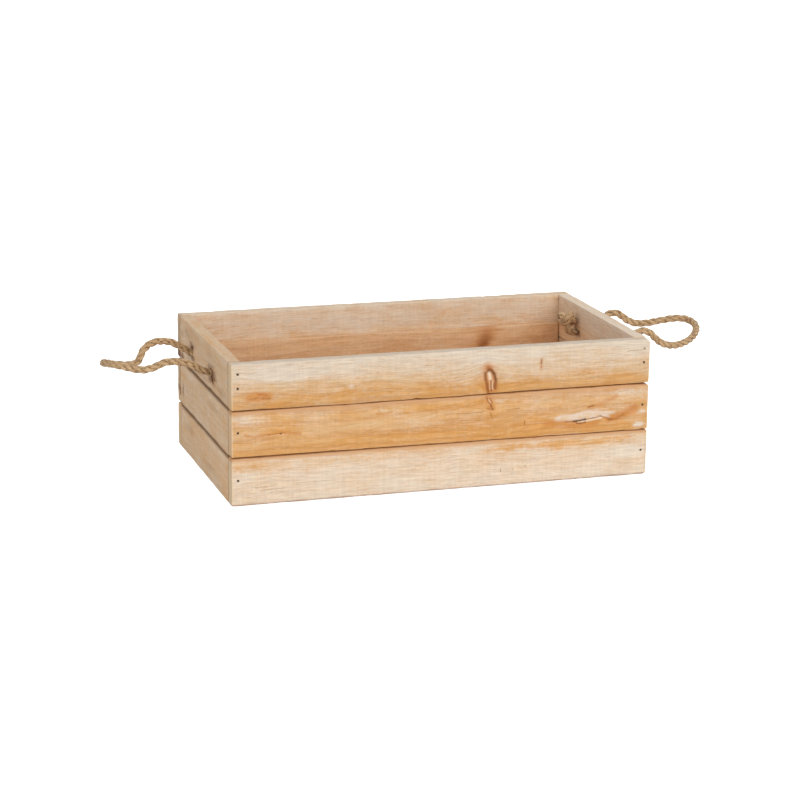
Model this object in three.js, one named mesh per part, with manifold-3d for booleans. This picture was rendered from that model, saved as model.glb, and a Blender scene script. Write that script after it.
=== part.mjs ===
// A slatted wooden crate with a loop of rope at each end for a handle.
// Units are millimetres. The crate stands on z = 0, is long in x and wide in y,
// and its origin is in the middle of its underside.

import * as THREE from 'three';
import { mergeVertices } from 'three/addons/utils/BufferGeometryUtils.js';
import Module from 'manifold-3d';

const wasm = await Module();
wasm.setup();

// Walls: three slats high, the long slats covering the ends of the short boards
const CRATE_LENGTH = 400;
const CRATE_WIDTH = 218;
const SLAT_HEIGHT = 42.6;
const SLAT_GAP = 1.4;
const SIDE_THICKNESS = 12;
const END_THICKNESS = 12;
const EDGE_BEVEL = 0.8;
const GLUE_LINE = 0.1;
const WALL_ROWS = ['bottom', 'middle', 'top'];

// Thin boards glued inside the long walls, which tie their slats together
const LINING_THICKNESS = 4.5;
const LINING_DROP = 28;
const LINING_END_CLEARANCE = 0.5;

// Floor slats and the cleats that carry them
const FLOOR_SLATS = 4;
const FLOOR_THICKNESS = 6;
const FLOOR_GAP = 5;
const FLOOR_CLEARANCE = 0.5;
const CLEAT_WIDTH = 14;
const CLEAT_HEIGHT = 10;
const CLEAT_LIFT = 1;

// Nails, sunk a little below the wood
const NAIL_DIAMETER = 1.6;
const NAIL_HEAD_DIAMETER = 2.8;
const NAIL_HEAD_THICKNESS = 0.8;
const NAIL_SINK = 0.3;
const NAIL_CLEARANCE = 0.3;
const NAIL_POINT = 2.5;
const WALL_NAIL_LENGTH = 30;
const FLOOR_NAIL_LENGTH = 13;
const TOP_SLAT_NAIL_DROPS = [9, 22];
const LOWER_SLAT_NAIL_LIFT = 2.6;
const NAIL_SIDES = 8;

// Rope and its holes in the top end boards
const ROPE_DIAMETER = 6;
const ROPE_SIDES = 10;
const HOLE_CLEARANCE = 0.5;
const HOLE_SIDES = 16;
const HOLE_SPACING = 76;
const HOLE_SHIFT = 8;
const JOINT_CLEARANCE = 0.3;
const LOOP_STEPS = 30;
const END_STEPS = 9;

// Knot on the inside of each hole: one tight turn round the rope, and a tail that droops
const KNOT_STRAND_DIAMETER = 5.2;
const KNOT_BITE = 0.8;
const KNOT_TILT = THREE.MathUtils.degToRad(20);
const KNOT_SEAT_GAP = 0.3;
const KNOT_SIDES = 8;
const KNOT_STEPS = 14;
const TAIL_REACH = 7;
const TAIL_SIDEWAYS = 5;
const TAIL_DROOP = 7;

// Each handle's holes are drilled at their own depth below the rim. The handle bends at a line
// outside them, where its rope has started to rise.
// A route lists the loop from the front hole to the back one, as the distance out from the
// end of the crate, the place across it, and the height above the holes.
const LEFT_HANDLE = {
  name: 'left',
  side: -1,
  holeDrop: 25.6,
  hingeOut: 14.5,
  hingeRise: 6.5,
  hingeSlope: THREE.MathUtils.degToRad(34),
  route: [
    [20.4, -30, 9.2], [26.6, -29.9, 11], [32.6, -29.4, 11.9], [38.4, -28.6, 12], [43.8, -27.6, 10.7],
    [49, -26.5, 8.2], [54.8, -25.2, 5.8], [60.8, -23.6, 4.7], [66.8, -21.6, 5], [73, -19, 6.3],
    [79.6, -15.6, 7.6], [85.6, -11, 8.4], [89.4, -4.6, 8.2], [91.4, 3.6, 6.8], [90.2, 11.8, 4.4],
    [85.6, 17.6, 2.2], [79, 20.8, 0.4], [71.8, 22.4, -1], [64.2, 23.8, -1.7], [57.8, 25.8, -1],
    [54, 28, 1.8], [51.8, 30.2, 5.6], [49, 32.6, 9.4], [44.6, 35.2, 12.6], [39, 38.2, 14.4],
    [32.6, 41, 14.7], [26.2, 43.6, 13.6], [20.2, 45.4, 10.7],
  ],
};
const RIGHT_HANDLE = {
  name: 'right',
  side: 1,
  holeDrop: 27.4,
  hingeOut: 13.3,
  hingeRise: 7.9,
  hingeSlope: THREE.MathUtils.degToRad(48),
  route: [
    [16.5, -30, 11.6], [20.8, -30, 14.6], [26, -30, 15.6], [31.2, -29.8, 14.5], [35.4, -29.4, 11.6],
    [40, -29, 7.2], [46, -28.2, 2.6], [53.6, -26.8, -0.6], [63, -24, -2.2], [73, -19.6, -1.8],
    [83, -13.2, -0.2], [92, -4.6, 2.4], [98.6, 5.6, 5.4], [101, 15.6, 8.4], [98.4, 25, 10.4],
    [91.8, 31.4, 11], [83.4, 35.2, 10], [74.6, 37.6, 8.4], [65.6, 39.4, 6.7], [56.6, 41.2, 5.5],
    [48.4, 43, 6], [41.4, 44.6, 9], [36.2, 45.6, 12.8], [31.9, 46, 15.7], [26.7, 46, 16.8],
    [21.4, 46, 15.7], [17, 46, 12.6],
  ],
};

// Finishes
const WASHED_PINE = { color: 0xd8b98f, roughness: 0.8, metalness: 0 };
const BARE_PINE = { color: 0xbf8a54, roughness: 0.8, metalness: 0 };
const NAIL_STEEL = { color: 0x6a6058, roughness: 0.5, metalness: 0.9 };
const JUTE = { color: 0xb08c5c, roughness: 0.95, metalness: 0 };

// Places worked out from the driving dimensions
const rowPitch = SLAT_HEIGHT + SLAT_GAP;
const crateHeight = (WALL_ROWS.length - 1) * rowPitch + SLAT_HEIGHT;
const insideLength = CRATE_LENGTH - 2 * END_THICKNESS;
const insideWidth = CRATE_WIDTH - 2 * SIDE_THICKNESS;
const floorBottom = CLEAT_LIFT + CLEAT_HEIGHT + GLUE_LINE;
const floorTop = floorBottom + FLOOR_THICKNESS;
const ropeRadius = ROPE_DIAMETER / 2;
const knotTurnRadius = (ROPE_DIAMETER + KNOT_STRAND_DIAMETER) / 2 - KNOT_BITE;
const knotHalfDepth = knotTurnRadius * Math.sin(KNOT_TILT) + KNOT_STRAND_DIAMETER / 2;
const SIDES = [{ name: 'front', sign: -1 }, { name: 'back', sign: 1 }];
const ENDS = [
  { name: 'left', sign: -1, handle: LEFT_HANDLE },
  { name: 'right', sign: 1, handle: RIGHT_HANDLE },
];

const crate = new THREE.Group();

function toSolid(geometry) {
  const bare = geometry.clone();
  bare.deleteAttribute('normal');
  bare.deleteAttribute('uv');
  const merged = mergeVertices(bare);
  return new wasm.Manifold(new wasm.Mesh({
    numProp: 3,
    vertProperties: new Float32Array(merged.attributes.position.array),
    triVerts: new Uint32Array(merged.index.array),
  }));
}

function toGeometry(solid) {
  const mesh = solid.getMesh();
  const geometry = new THREE.BufferGeometry();
  geometry.setAttribute('position', new THREE.BufferAttribute(mesh.vertProperties, 3));
  geometry.setIndex(new THREE.BufferAttribute(mesh.triVerts, 1));
  geometry.computeVertexNormals();
  return geometry;
}

function cut(geometry, tools) {
  return toGeometry(tools.reduce((solid, tool) => solid.subtract(toSolid(tool)), toSolid(geometry)));
}

function join(geometries) {
  return toGeometry(geometries.map(toSolid).reduce((whole, solid) => whole.add(solid)));
}

function add(name, geometry, finish, position = new THREE.Vector3()) {
  const mesh = new THREE.Mesh(geometry, new THREE.MeshStandardMaterial(finish));
  mesh.name = name;
  mesh.position.copy(position);
  crate.add(mesh);
}

// A board with bevelled long edges, centred on its own middle, with its length along x
function board(length, width, height) {
  const x = width / 2;
  const y = height / 2;
  const section = new THREE.Shape([
    new THREE.Vector2(x - EDGE_BEVEL, -y),
    new THREE.Vector2(x, -y + EDGE_BEVEL),
    new THREE.Vector2(x, y - EDGE_BEVEL),
    new THREE.Vector2(x - EDGE_BEVEL, y),
    new THREE.Vector2(-x + EDGE_BEVEL, y),
    new THREE.Vector2(-x, y - EDGE_BEVEL),
    new THREE.Vector2(-x, -y + EDGE_BEVEL),
    new THREE.Vector2(-x + EDGE_BEVEL, -y),
  ]);
  const geometry = new THREE.ExtrudeGeometry(section, { depth: length, bevelEnabled: false });
  geometry.translate(0, 0, -length / 2);
  geometry.rotateX(Math.PI / 2);
  return geometry.rotateZ(Math.PI / 2);
}

// Adds a board after drilling it with tools that are given in the crate's own frame
function addDrilledBoard(name, geometry, finish, position, tools) {
  const local = tools.map((tool) => tool.clone().translate(-position.x, -position.y, -position.z));
  add(name, cut(geometry, local), finish, position);
}

// Turns a shape that is made round the y axis, pointing along -y, towards a direction
function aimed(geometry, direction, position) {
  const turn = new THREE.Quaternion().setFromUnitVectors(new THREE.Vector3(0, -1, 0), direction);
  return geometry.applyQuaternion(turn).translate(position.x, position.y, position.z);
}

// A nail whose head's top is at the origin
function nailShape(length) {
  const radius = NAIL_DIAMETER / 2;
  const head = NAIL_HEAD_DIAMETER / 2;
  return new THREE.LatheGeometry([
    new THREE.Vector2(0, -length),
    new THREE.Vector2(radius, -length + NAIL_POINT),
    new THREE.Vector2(radius, -NAIL_HEAD_THICKNESS),
    new THREE.Vector2(head, -NAIL_HEAD_THICKNESS),
    new THREE.Vector2(head, 0),
    new THREE.Vector2(0, 0),
  ], NAIL_SIDES);
}

// The hole that a nail leaves, open at the wood's surface
function nailHole(length) {
  const radius = NAIL_DIAMETER / 2 + NAIL_CLEARANCE;
  const head = NAIL_HEAD_DIAMETER / 2 + NAIL_CLEARANCE;
  const open = NAIL_SINK + NAIL_HEAD_THICKNESS;
  return new THREE.LatheGeometry([
    new THREE.Vector2(0, -length - NAIL_CLEARANCE),
    new THREE.Vector2(radius, -length - NAIL_CLEARANCE),
    new THREE.Vector2(radius, -NAIL_HEAD_THICKNESS - NAIL_CLEARANCE),
    new THREE.Vector2(head, -NAIL_HEAD_THICKNESS - NAIL_CLEARANCE),
    new THREE.Vector2(head, open),
    new THREE.Vector2(0, open),
  ], NAIL_SIDES);
}

function rowCentre(row) {
  return row * rowPitch + SLAT_HEIGHT / 2;
}

// Heights of the nails in one row of slats: two in the top slat, one above the middle of each other slat
function nailHeights(row) {
  if (row < WALL_ROWS.length - 1) {
    return [rowCentre(row) + LOWER_SLAT_NAIL_LIFT];
  }
  return TOP_SLAT_NAIL_DROPS.map((drop) => crateHeight - drop);
}

// Every wall nail: it goes through a long slat into the end of a short board
const wallNails = [];
for (const side of SIDES) {
  for (const end of ENDS) {
    let count = 0;
    WALL_ROWS.forEach((_, row) => {
      for (const height of nailHeights(row)) {
        count += 1;
        wallNails.push({
          name: `nail_${side.name}_${end.name}_${count}`,
          side,
          end,
          row,
          direction: new THREE.Vector3(0, -side.sign, 0),
          position: new THREE.Vector3(
            end.sign * (CRATE_LENGTH - END_THICKNESS) / 2,
            side.sign * (CRATE_WIDTH / 2 - NAIL_SINK),
            height,
          ),
        });
      }
    });
  }
}

function wallNailHoles(wanted) {
  return wallNails.filter(wanted).map((nail) => (
    aimed(nailHole(WALL_NAIL_LENGTH), nail.direction, nail.position)
  ));
}

// Where the rope passes through an end board, front hole first
const holePlaces = [
  { name: 'front', y: HOLE_SHIFT - HOLE_SPACING / 2, tailSide: -1 },
  { name: 'back', y: HOLE_SHIFT + HOLE_SPACING / 2, tailSide: 1 },
];

function ropeHoles(end) {
  const radius = ropeRadius + HOLE_CLEARANCE;
  return holePlaces.map((hole) => {
    const drill = new THREE.CylinderGeometry(radius, radius, 3 * END_THICKNESS, HOLE_SIDES);
    drill.rotateZ(Math.PI / 2);
    return drill.translate(end.sign * CRATE_LENGTH / 2, hole.y, crateHeight - end.handle.holeDrop);
  });
}

// Long slats at the front and back
for (const side of SIDES) {
  WALL_ROWS.forEach((rowName, row) => {
    const position = new THREE.Vector3(0, side.sign * (CRATE_WIDTH - SIDE_THICKNESS) / 2, rowCentre(row));
    const shape = board(CRATE_LENGTH, SIDE_THICKNESS, SLAT_HEIGHT);
    const holes = wallNailHoles((nail) => nail.side === side && nail.row === row);
    addDrilledBoard(`${side.name}_${rowName}_slat`, shape, WASHED_PINE, position, holes);
  });
}

// Short boards at the left and right, between the long slats
for (const end of ENDS) {
  WALL_ROWS.forEach((rowName, row) => {
    const position = new THREE.Vector3(end.sign * (CRATE_LENGTH - END_THICKNESS) / 2, 0, rowCentre(row));
    const shape = board(insideWidth - 2 * GLUE_LINE, END_THICKNESS, SLAT_HEIGHT).rotateZ(Math.PI / 2);
    const holes = wallNailHoles((nail) => nail.end === end && nail.row === row);
    if (row === WALL_ROWS.length - 1) {
      holes.push(...ropeHoles(end));
    }
    addDrilledBoard(`${end.name}_end_${rowName}_board`, shape, WASHED_PINE, position, holes);
  });
}

// Linings, standing on the floor inside the long walls
const liningBottom = floorTop + GLUE_LINE;
const liningHeight = crateHeight - LINING_DROP - liningBottom;
for (const side of SIDES) {
  const shape = board(insideLength - 2 * LINING_END_CLEARANCE, LINING_THICKNESS, liningHeight);
  add(`${side.name}_lining`, shape, BARE_PINE, new THREE.Vector3(
    0,
    side.sign * (insideWidth / 2 - GLUE_LINE - LINING_THICKNESS / 2),
    liningBottom + liningHeight / 2,
  ));
}

// Floor slats, each nailed down at both ends
const floorSpan = insideWidth - 2 * FLOOR_CLEARANCE;
const floorSlatWidth = (floorSpan - (FLOOR_SLATS - 1) * FLOOR_GAP) / FLOOR_SLATS;
const cleatCentre = insideLength / 2 - GLUE_LINE - CLEAT_WIDTH / 2;
const floorNails = [];
for (let slat = 0; slat < FLOOR_SLATS; slat += 1) {
  for (const end of ENDS) {
    floorNails.push({
      name: `floor_nail_${end.name}_${slat + 1}`,
      slat,
      end,
      position: new THREE.Vector3(
        end.sign * cleatCentre,
        -floorSpan / 2 + floorSlatWidth / 2 + slat * (floorSlatWidth + FLOOR_GAP),
        floorTop - NAIL_SINK,
      ),
    });
  }
}
const down = new THREE.Vector3(0, 0, -1);

function floorNailHoles(wanted) {
  return floorNails.filter(wanted).map((nail) => aimed(nailHole(FLOOR_NAIL_LENGTH), down, nail.position));
}

for (let slat = 0; slat < FLOOR_SLATS; slat += 1) {
  const across = -floorSpan / 2 + floorSlatWidth / 2 + slat * (floorSlatWidth + FLOOR_GAP);
  const shape = board(insideLength - 2 * FLOOR_CLEARANCE, floorSlatWidth, FLOOR_THICKNESS);
  const position = new THREE.Vector3(0, across, floorBottom + FLOOR_THICKNESS / 2);
  addDrilledBoard(`floor_slat_${slat + 1}`, shape, BARE_PINE, position, floorNailHoles((nail) => nail.slat === slat));
}

for (const end of ENDS) {
  const shape = board(floorSpan, CLEAT_WIDTH, CLEAT_HEIGHT).rotateZ(Math.PI / 2);
  const position = new THREE.Vector3(end.sign * cleatCentre, 0, CLEAT_LIFT + CLEAT_HEIGHT / 2);
  addDrilledBoard(`${end.name}_floor_cleat`, shape, BARE_PINE, position, floorNailHoles((nail) => nail.end === end));
}

for (const nail of wallNails) {
  add(nail.name, aimed(nailShape(WALL_NAIL_LENGTH), nail.direction, nail.position), NAIL_STEEL);
}
for (const nail of floorNails) {
  add(nail.name, aimed(nailShape(FLOOR_NAIL_LENGTH), down, nail.position), NAIL_STEEL);
}

// A place near a handle: the distance out from the end of the crate, across, above the holes
function handlePoint(handle, out, across, rise) {
  const height = crateHeight - handle.holeDrop + rise;
  return new THREE.Vector3(handle.side * (CRATE_LENGTH / 2 + out), across, height);
}

function ropeTube(curve, steps) {
  const section = new THREE.Shape();
  section.absarc(0, 0, ropeRadius, 0, 2 * Math.PI, false);
  return new THREE.ExtrudeGeometry(section, {
    steps,
    curveSegments: ROPE_SIDES / 2,
    extrudePath: curve,
  });
}

// The free loop, with round ends on the line that it bends about
function ropeLoop(handle) {
  const ends = holePlaces.map((hole) => handlePoint(handle, handle.hingeOut, hole.y, handle.hingeRise));
  const between = handle.route.map((point) => handlePoint(handle, ...point));
  const curve = new THREE.CatmullRomCurve3([ends[0], ...between, ends[1]]);
  const balls = ends.map((place) => (
    new THREE.SphereGeometry(ropeRadius, ROPE_SIDES, ROPE_SIDES / 2).translate(place.x, place.y, place.z)
  ));
  return join([ropeTube(curve, LOOP_STEPS), ...balls]);
}

// The end of the rope that stays put: its tail and knot inside, and the stretch through the hole
function ropeEnd(handle, hole) {
  const knotOut = -END_THICKNESS - KNOT_SEAT_GAP - knotHalfDepth;
  const knotBack = knotOut - knotHalfDepth;
  const reach = ropeRadius + JOINT_CLEARANCE;
  const tipOut = handle.hingeOut - reach * Math.cos(handle.hingeSlope);
  const tipRise = handle.hingeRise - reach * Math.sin(handle.hingeSlope);
  const bend = tipOut / 2;
  const at = (out, sideways, rise) => handlePoint(handle, out, hole.y + hole.tailSide * sideways, rise);
  const path = new THREE.CurvePath();
  path.add(new THREE.QuadraticBezierCurve3(
    at(knotBack - TAIL_REACH, TAIL_SIDEWAYS, -TAIL_DROOP),
    at(knotBack - TAIL_REACH, 0, 0),
    at(knotBack, 0, 0),
  ));
  path.add(new THREE.LineCurve3(at(knotBack, 0, 0), at(0, 0, 0)));
  path.add(new THREE.CubicBezierCurve3(
    at(0, 0, 0),
    at(bend, 0, 0),
    at(tipOut - bend * Math.cos(handle.hingeSlope), 0, tipRise - bend * Math.sin(handle.hingeSlope)),
    at(tipOut, 0, tipRise),
  ));
  const turn = new THREE.TorusGeometry(knotTurnRadius, KNOT_STRAND_DIAMETER / 2, KNOT_SIDES, KNOT_STEPS);
  turn.rotateY(Math.PI / 2 + KNOT_TILT);
  const knot = at(knotOut, 0, 0);
  turn.translate(knot.x, knot.y, knot.z);
  return join([ropeTube(path, END_STEPS), turn]);
}

for (const handle of [LEFT_HANDLE, RIGHT_HANDLE]) {
  add(`${handle.name}_rope_loop`, ropeLoop(handle), JUTE);
  for (const hole of holePlaces) {
    add(`${handle.name}_rope_${hole.name}_end`, ropeEnd(handle, hole), JUTE);
  }
}

export default crate;
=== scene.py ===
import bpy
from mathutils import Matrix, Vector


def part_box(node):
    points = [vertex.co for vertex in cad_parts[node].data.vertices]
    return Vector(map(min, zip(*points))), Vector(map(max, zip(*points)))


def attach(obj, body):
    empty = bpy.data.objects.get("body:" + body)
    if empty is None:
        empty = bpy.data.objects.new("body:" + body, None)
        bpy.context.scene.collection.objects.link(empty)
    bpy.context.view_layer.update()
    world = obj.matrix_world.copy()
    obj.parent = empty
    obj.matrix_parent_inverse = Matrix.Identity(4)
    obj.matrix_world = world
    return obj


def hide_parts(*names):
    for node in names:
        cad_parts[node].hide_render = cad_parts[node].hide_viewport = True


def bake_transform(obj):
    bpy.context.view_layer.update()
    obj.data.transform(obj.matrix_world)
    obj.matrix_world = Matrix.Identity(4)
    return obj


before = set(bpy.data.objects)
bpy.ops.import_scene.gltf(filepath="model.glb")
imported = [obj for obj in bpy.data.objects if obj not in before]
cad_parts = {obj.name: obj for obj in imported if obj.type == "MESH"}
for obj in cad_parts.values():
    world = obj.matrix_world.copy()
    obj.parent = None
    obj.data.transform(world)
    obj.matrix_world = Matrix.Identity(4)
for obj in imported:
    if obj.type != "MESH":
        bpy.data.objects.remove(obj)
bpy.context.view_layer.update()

import math
import random

import bmesh
import bpy
import numpy as np
from mathutils import Matrix, Vector, noise

scene = bpy.context.scene
MM = 0.001
X, Y, Z = range(3)

# Camera, at the photograph's viewing angle
CAMERA_AZIMUTH = math.radians(-17.751)
CAMERA_ELEVATION = math.radians(14.7)
CAMERA_ROLL = math.radians(0.714)
CAMERA_PLACE = Vector((-0.6904, -2.12949, 0.64493))
CAMERA_LENS = 109.36


def add_camera():
    flat = math.cos(CAMERA_ELEVATION)
    back = Vector((
        math.sin(CAMERA_AZIMUTH) * flat,
        -math.cos(CAMERA_AZIMUTH) * flat,
        math.sin(CAMERA_ELEVATION),
    ))
    right = Vector((math.cos(CAMERA_AZIMUTH), math.sin(CAMERA_AZIMUTH), 0))
    axes = Matrix((right, back.cross(right), back)).transposed()
    turn = axes @ Matrix.Rotation(CAMERA_ROLL, 3, "Z")
    bpy.ops.object.camera_add()
    camera = bpy.context.object
    camera.name = "camera"
    camera.data.lens = CAMERA_LENS
    camera.data.sensor_width = 36
    camera.matrix_world = Matrix.Translation(CAMERA_PLACE) @ turn.to_4x4()
    scene.camera = camera


# Rope handles: laid jute, drawn through two holes in each top end board and knotted inside.
# A route lists the loop from the front hole to the back one, as the distance out from the
# end of the crate, the place across it, and the height above the holes. A leg may stand a
# little higher where it bends. A knot's lift is how far the rope turns up inside before its
# knot, and its turn is about the rope.
ROPE_DIAMETER = 0.006
HOLE_ACROSS = {"front": -0.030, "back": 0.046}
HANDLES = {
    "left": {
        "side": -1,
        "hole_height": 0.1050,
        "hinge_out": 0.0145,
        "hinge_rise": 0.0065,
        "hinge_lift": {"front": 0.0, "back": 0.0028},
        "hinge_bend": {"front": 1.5, "back": 0.9},
        "knot_lift": {"front": math.radians(-14), "back": math.radians(-8)},
        "knot_turn": {"front": math.radians(48), "back": math.radians(48)},
        "route": [
            (0.0204, -0.0300, 0.0092), (0.0266, -0.0299, 0.0110), (0.0326, -0.0294, 0.0119),
            (0.0384, -0.0286, 0.0120), (0.0438, -0.0276, 0.0107), (0.0490, -0.0265, 0.0082),
            (0.0548, -0.0252, 0.0058), (0.0608, -0.0236, 0.0047), (0.0668, -0.0216, 0.0050),
            (0.0730, -0.0190, 0.0063), (0.0796, -0.0156, 0.0076), (0.0856, -0.0110, 0.0084),
            (0.0894, -0.0046, 0.0082), (0.0914, 0.0036, 0.0068), (0.0902, 0.0118, 0.0044),
            (0.0856, 0.0176, 0.0022), (0.0790, 0.0208, 0.0004), (0.0718, 0.0224, -0.0010),
            (0.0642, 0.0238, -0.0017), (0.0578, 0.0258, -0.0010), (0.0540, 0.0280, 0.0018),
            (0.0518, 0.0302, 0.0056), (0.0490, 0.0326, 0.0094), (0.0446, 0.0352, 0.0126),
            (0.0390, 0.0382, 0.0144), (0.0326, 0.0410, 0.0147), (0.0262, 0.0436, 0.0136),
            (0.0202, 0.0454, 0.0107),
        ],
    },
    "right": {
        "side": 1,
        "hole_height": 0.1032,
        "hinge_out": 0.0133,
        "hinge_rise": 0.0079,
        "hinge_lift": {"front": 0.0, "back": 0.0},
        "hinge_bend": {"front": 1.85, "back": 1.85},
        "knot_lift": {"front": math.radians(-12), "back": math.radians(48)},
        "knot_turn": {"front": math.radians(48), "back": math.radians(140)},
        "route": [
            (0.0165, -0.0300, 0.0116), (0.0208, -0.0300, 0.0146), (0.0260, -0.0300, 0.0156),
            (0.0312, -0.0298, 0.0145), (0.0354, -0.0294, 0.0116), (0.0400, -0.0290, 0.0072),
            (0.0460, -0.0282, 0.0026), (0.0536, -0.0268, -0.0006), (0.0630, -0.0240, -0.0022),
            (0.0730, -0.0196, -0.0018), (0.0830, -0.0132, -0.0002), (0.0920, -0.0046, 0.0024),
            (0.0986, 0.0056, 0.0054), (0.1010, 0.0156, 0.0084), (0.0984, 0.0250, 0.0104),
            (0.0918, 0.0314, 0.0110), (0.0834, 0.0352, 0.0100), (0.0746, 0.0376, 0.0084),
            (0.0656, 0.0394, 0.0067), (0.0566, 0.0412, 0.0055), (0.0484, 0.0430, 0.0060),
            (0.0414, 0.0446, 0.0090), (0.0362, 0.0456, 0.0128), (0.0319, 0.0460, 0.0157),
            (0.0267, 0.0460, 0.0168), (0.0214, 0.0460, 0.0157), (0.0170, 0.0460, 0.0126),
        ],
    },
}
LIFT_REACH = 0.012
ROPE_STEP = 0.0009

# A knot is tied loosely, and then drawn tight in rounds. In each round the rope straightens a little and
# its tail is pulled, and sweeps mend a share of each wrong step and each overlap. Distances off the wall are
# in diameters. Points of the tail droop, and those of the neck are the rope before its knot.
LOOSE_LENGTH = 0.103
LOOSE_WIDTH = 0.35
KNOT_STEP = 0.2 * ROPE_DIAMETER
KNOT_HELD = 12
KNOT_ROUNDS = 300
KNOT_SWEEPS = 12
KNOT_EASE = 0.05
KNOT_PULL = ROPE_DIAMETER / 60
KNOT_CENTRING = 0.02
KNOT_MEND = 0.45
KNOT_SQUEEZE = 0.84
KNOT_OFF_WALL = 0.48
LIFTED_OFF_WALL = 0.47
NECK_POINTS = 4
KNOT_BEND = 0.005
BEND_POINTS = 4
TAIL_POINTS = 9
TAIL_START = 0.0145
TAIL_END = 0.0195
TAIL_DROOP = 150
TINY = 1e-9


def evenly(points, step):
    """The same line, with its points an even step apart."""
    points = np.asarray(points, float)
    gaps = np.linalg.norm(np.diff(points, axis=0), axis=1)
    along = np.concatenate([[0.0], np.cumsum(gaps)])
    places = np.linspace(0.0, along[-1], int(round(along[-1] / step)) + 1)
    return np.stack([np.interp(places, along, points[:, k]) for k in range(3)], axis=1)


def between(t, low, high, a, b):
    """The point that goes from a to b as t goes from low to high."""
    return ((high - t) * a + (t - low) * b) / (high - low)


def smooth_curve(points, pieces=8):
    """A smooth curve through the points, which doesn't overshoot where they are uneven."""
    p = np.asarray(points, float)
    p = np.concatenate([2 * p[:1] - p[1:2], p, 2 * p[-1:] - p[-2:-1]])
    knots = np.concatenate([[0.0], np.cumsum(np.sqrt(np.linalg.norm(np.diff(p, axis=0), axis=1)))])
    curve = []
    for i in range(1, len(p) - 2):
        k = knots[i - 1:i + 3]
        for t in np.linspace(k[1], k[2], pieces, endpoint=False):
            a = [between(t, k[j], k[j + 1], p[i + j - 1], p[i + j]) for j in range(3)]
            b = [between(t, k[j], k[j + 2], a[j], a[j + 1]) for j in range(2)]
            curve.append(between(t, k[1], k[2], *b))
    curve.append(p[-2])
    return np.array(curve)


def overhand_knot():
    """An overhand knot drawn tight on a rope that comes out of a wall along x, with a short tail."""
    d = ROPE_DIAMETER
    t = np.linspace(-2.0, 2.0, 200)
    loose = d * np.stack([
        LOOSE_LENGTH * (t**5 - 10 * t),
        LOOSE_WIDTH * (t**3 - 3 * t),
        LOOSE_WIDTH * (t**4 - 4 * t**2),
    ], axis=1)
    loose += np.array([d / 6, 0, 0]) - loose[0]
    start = np.array([[-KNOT_HELD * KNOT_STEP, 0, 0]])
    line = evenly(np.concatenate([start, loose, loose[-1:] + [[2 * d, 0, 0]]]), KNOT_STEP)
    held = np.zeros((KNOT_HELD + 1, 3))
    held[:, 0] = (np.arange(KNOT_HELD + 1) - KNOT_HELD) * KNOT_STEP
    i, j = np.triu_indices(len(line), k=int(1.3 * d / KNOT_STEP) + 1)
    least = KNOT_SQUEEZE * d
    for _ in range(KNOT_ROUNDS):
        line[1:-1] += KNOT_EASE * (line[:-2] + line[2:] - 2 * line[1:-1])
        line[-1] += (KNOT_PULL, -KNOT_CENTRING * line[-1, 1], -KNOT_CENTRING * line[-1, 2])
        for _ in range(KNOT_SWEEPS):
            step = np.diff(line, axis=0)
            size = np.maximum(np.linalg.norm(step, axis=1, keepdims=True), TINY)
            pull = KNOT_MEND * step * (1 - KNOT_STEP / size)
            line[:-1] += pull
            line[1:] -= pull
            apart = line[j] - line[i]
            gap = np.linalg.norm(apart, axis=1)
            near = gap < least
            share = KNOT_MEND * (least - gap[near]) / np.maximum(gap[near], TINY)
            push = apart[near] * share[:, None]
            move = np.zeros_like(line)
            count = np.zeros(len(line))
            np.add.at(move, i[near], -push)
            np.add.at(move, j[near], push)
            np.add.at(count, i[near], 1)
            np.add.at(count, j[near], 1)
            line += move / np.maximum(count, 1)[:, None]
            line[:KNOT_HELD + 1] = held
            off = np.hypot(line[:, 1], line[:, 2])
            floor = KNOT_OFF_WALL * d * np.minimum(off / MM, 1.0)
            line[KNOT_HELD + 1:, 0] = np.maximum(line[:, 0], floor)[KNOT_HELD + 1:]
    line = line[KNOT_HELD:]
    last = len(line) - np.argmax(line[::-1, 0] < TAIL_END)
    return line[:last]


def turned(a, b, angle):
    """Two coordinates of points, turned by an angle."""
    c, s = math.cos(angle), math.sin(angle)
    return c * a - s * b, s * a + c * b


def lift_knot(knot, lift, turn):
    """The knot, turned about its rope, which bends up or down by the lift where it leaves the wall."""
    knot = np.stack([knot[:, 0], *turned(knot[:, 1], knot[:, 2], turn)], axis=1)
    tail = np.arange(len(knot)) > len(knot) - TAIL_POINTS
    knot[:, 2] -= TAIL_DROOP * np.where(tail, np.maximum(knot[:, 0] - TAIL_START, 0), 0) ** 2
    away, up = turned(knot[:, 0], knot[:, 2], lift)

    def on_bend(angle):
        return KNOT_BEND * abs(math.sin(angle)), math.copysign(KNOT_BEND * (1 - math.cos(angle)), angle)

    reach, rise = on_bend(lift)
    straight = max(MM, LIFTED_OFF_WALL * ROPE_DIAMETER - reach - away[NECK_POINTS:].min())
    bend = []
    for angle in np.linspace(0, lift, BEND_POINTS + 1)[:-1]:
        out, height = on_bend(angle)
        bend.append((straight + out, 0, height))
    lifted = np.stack([away + straight + reach, knot[:, 1], up + rise], axis=1)
    return np.concatenate([bend, lifted])


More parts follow.
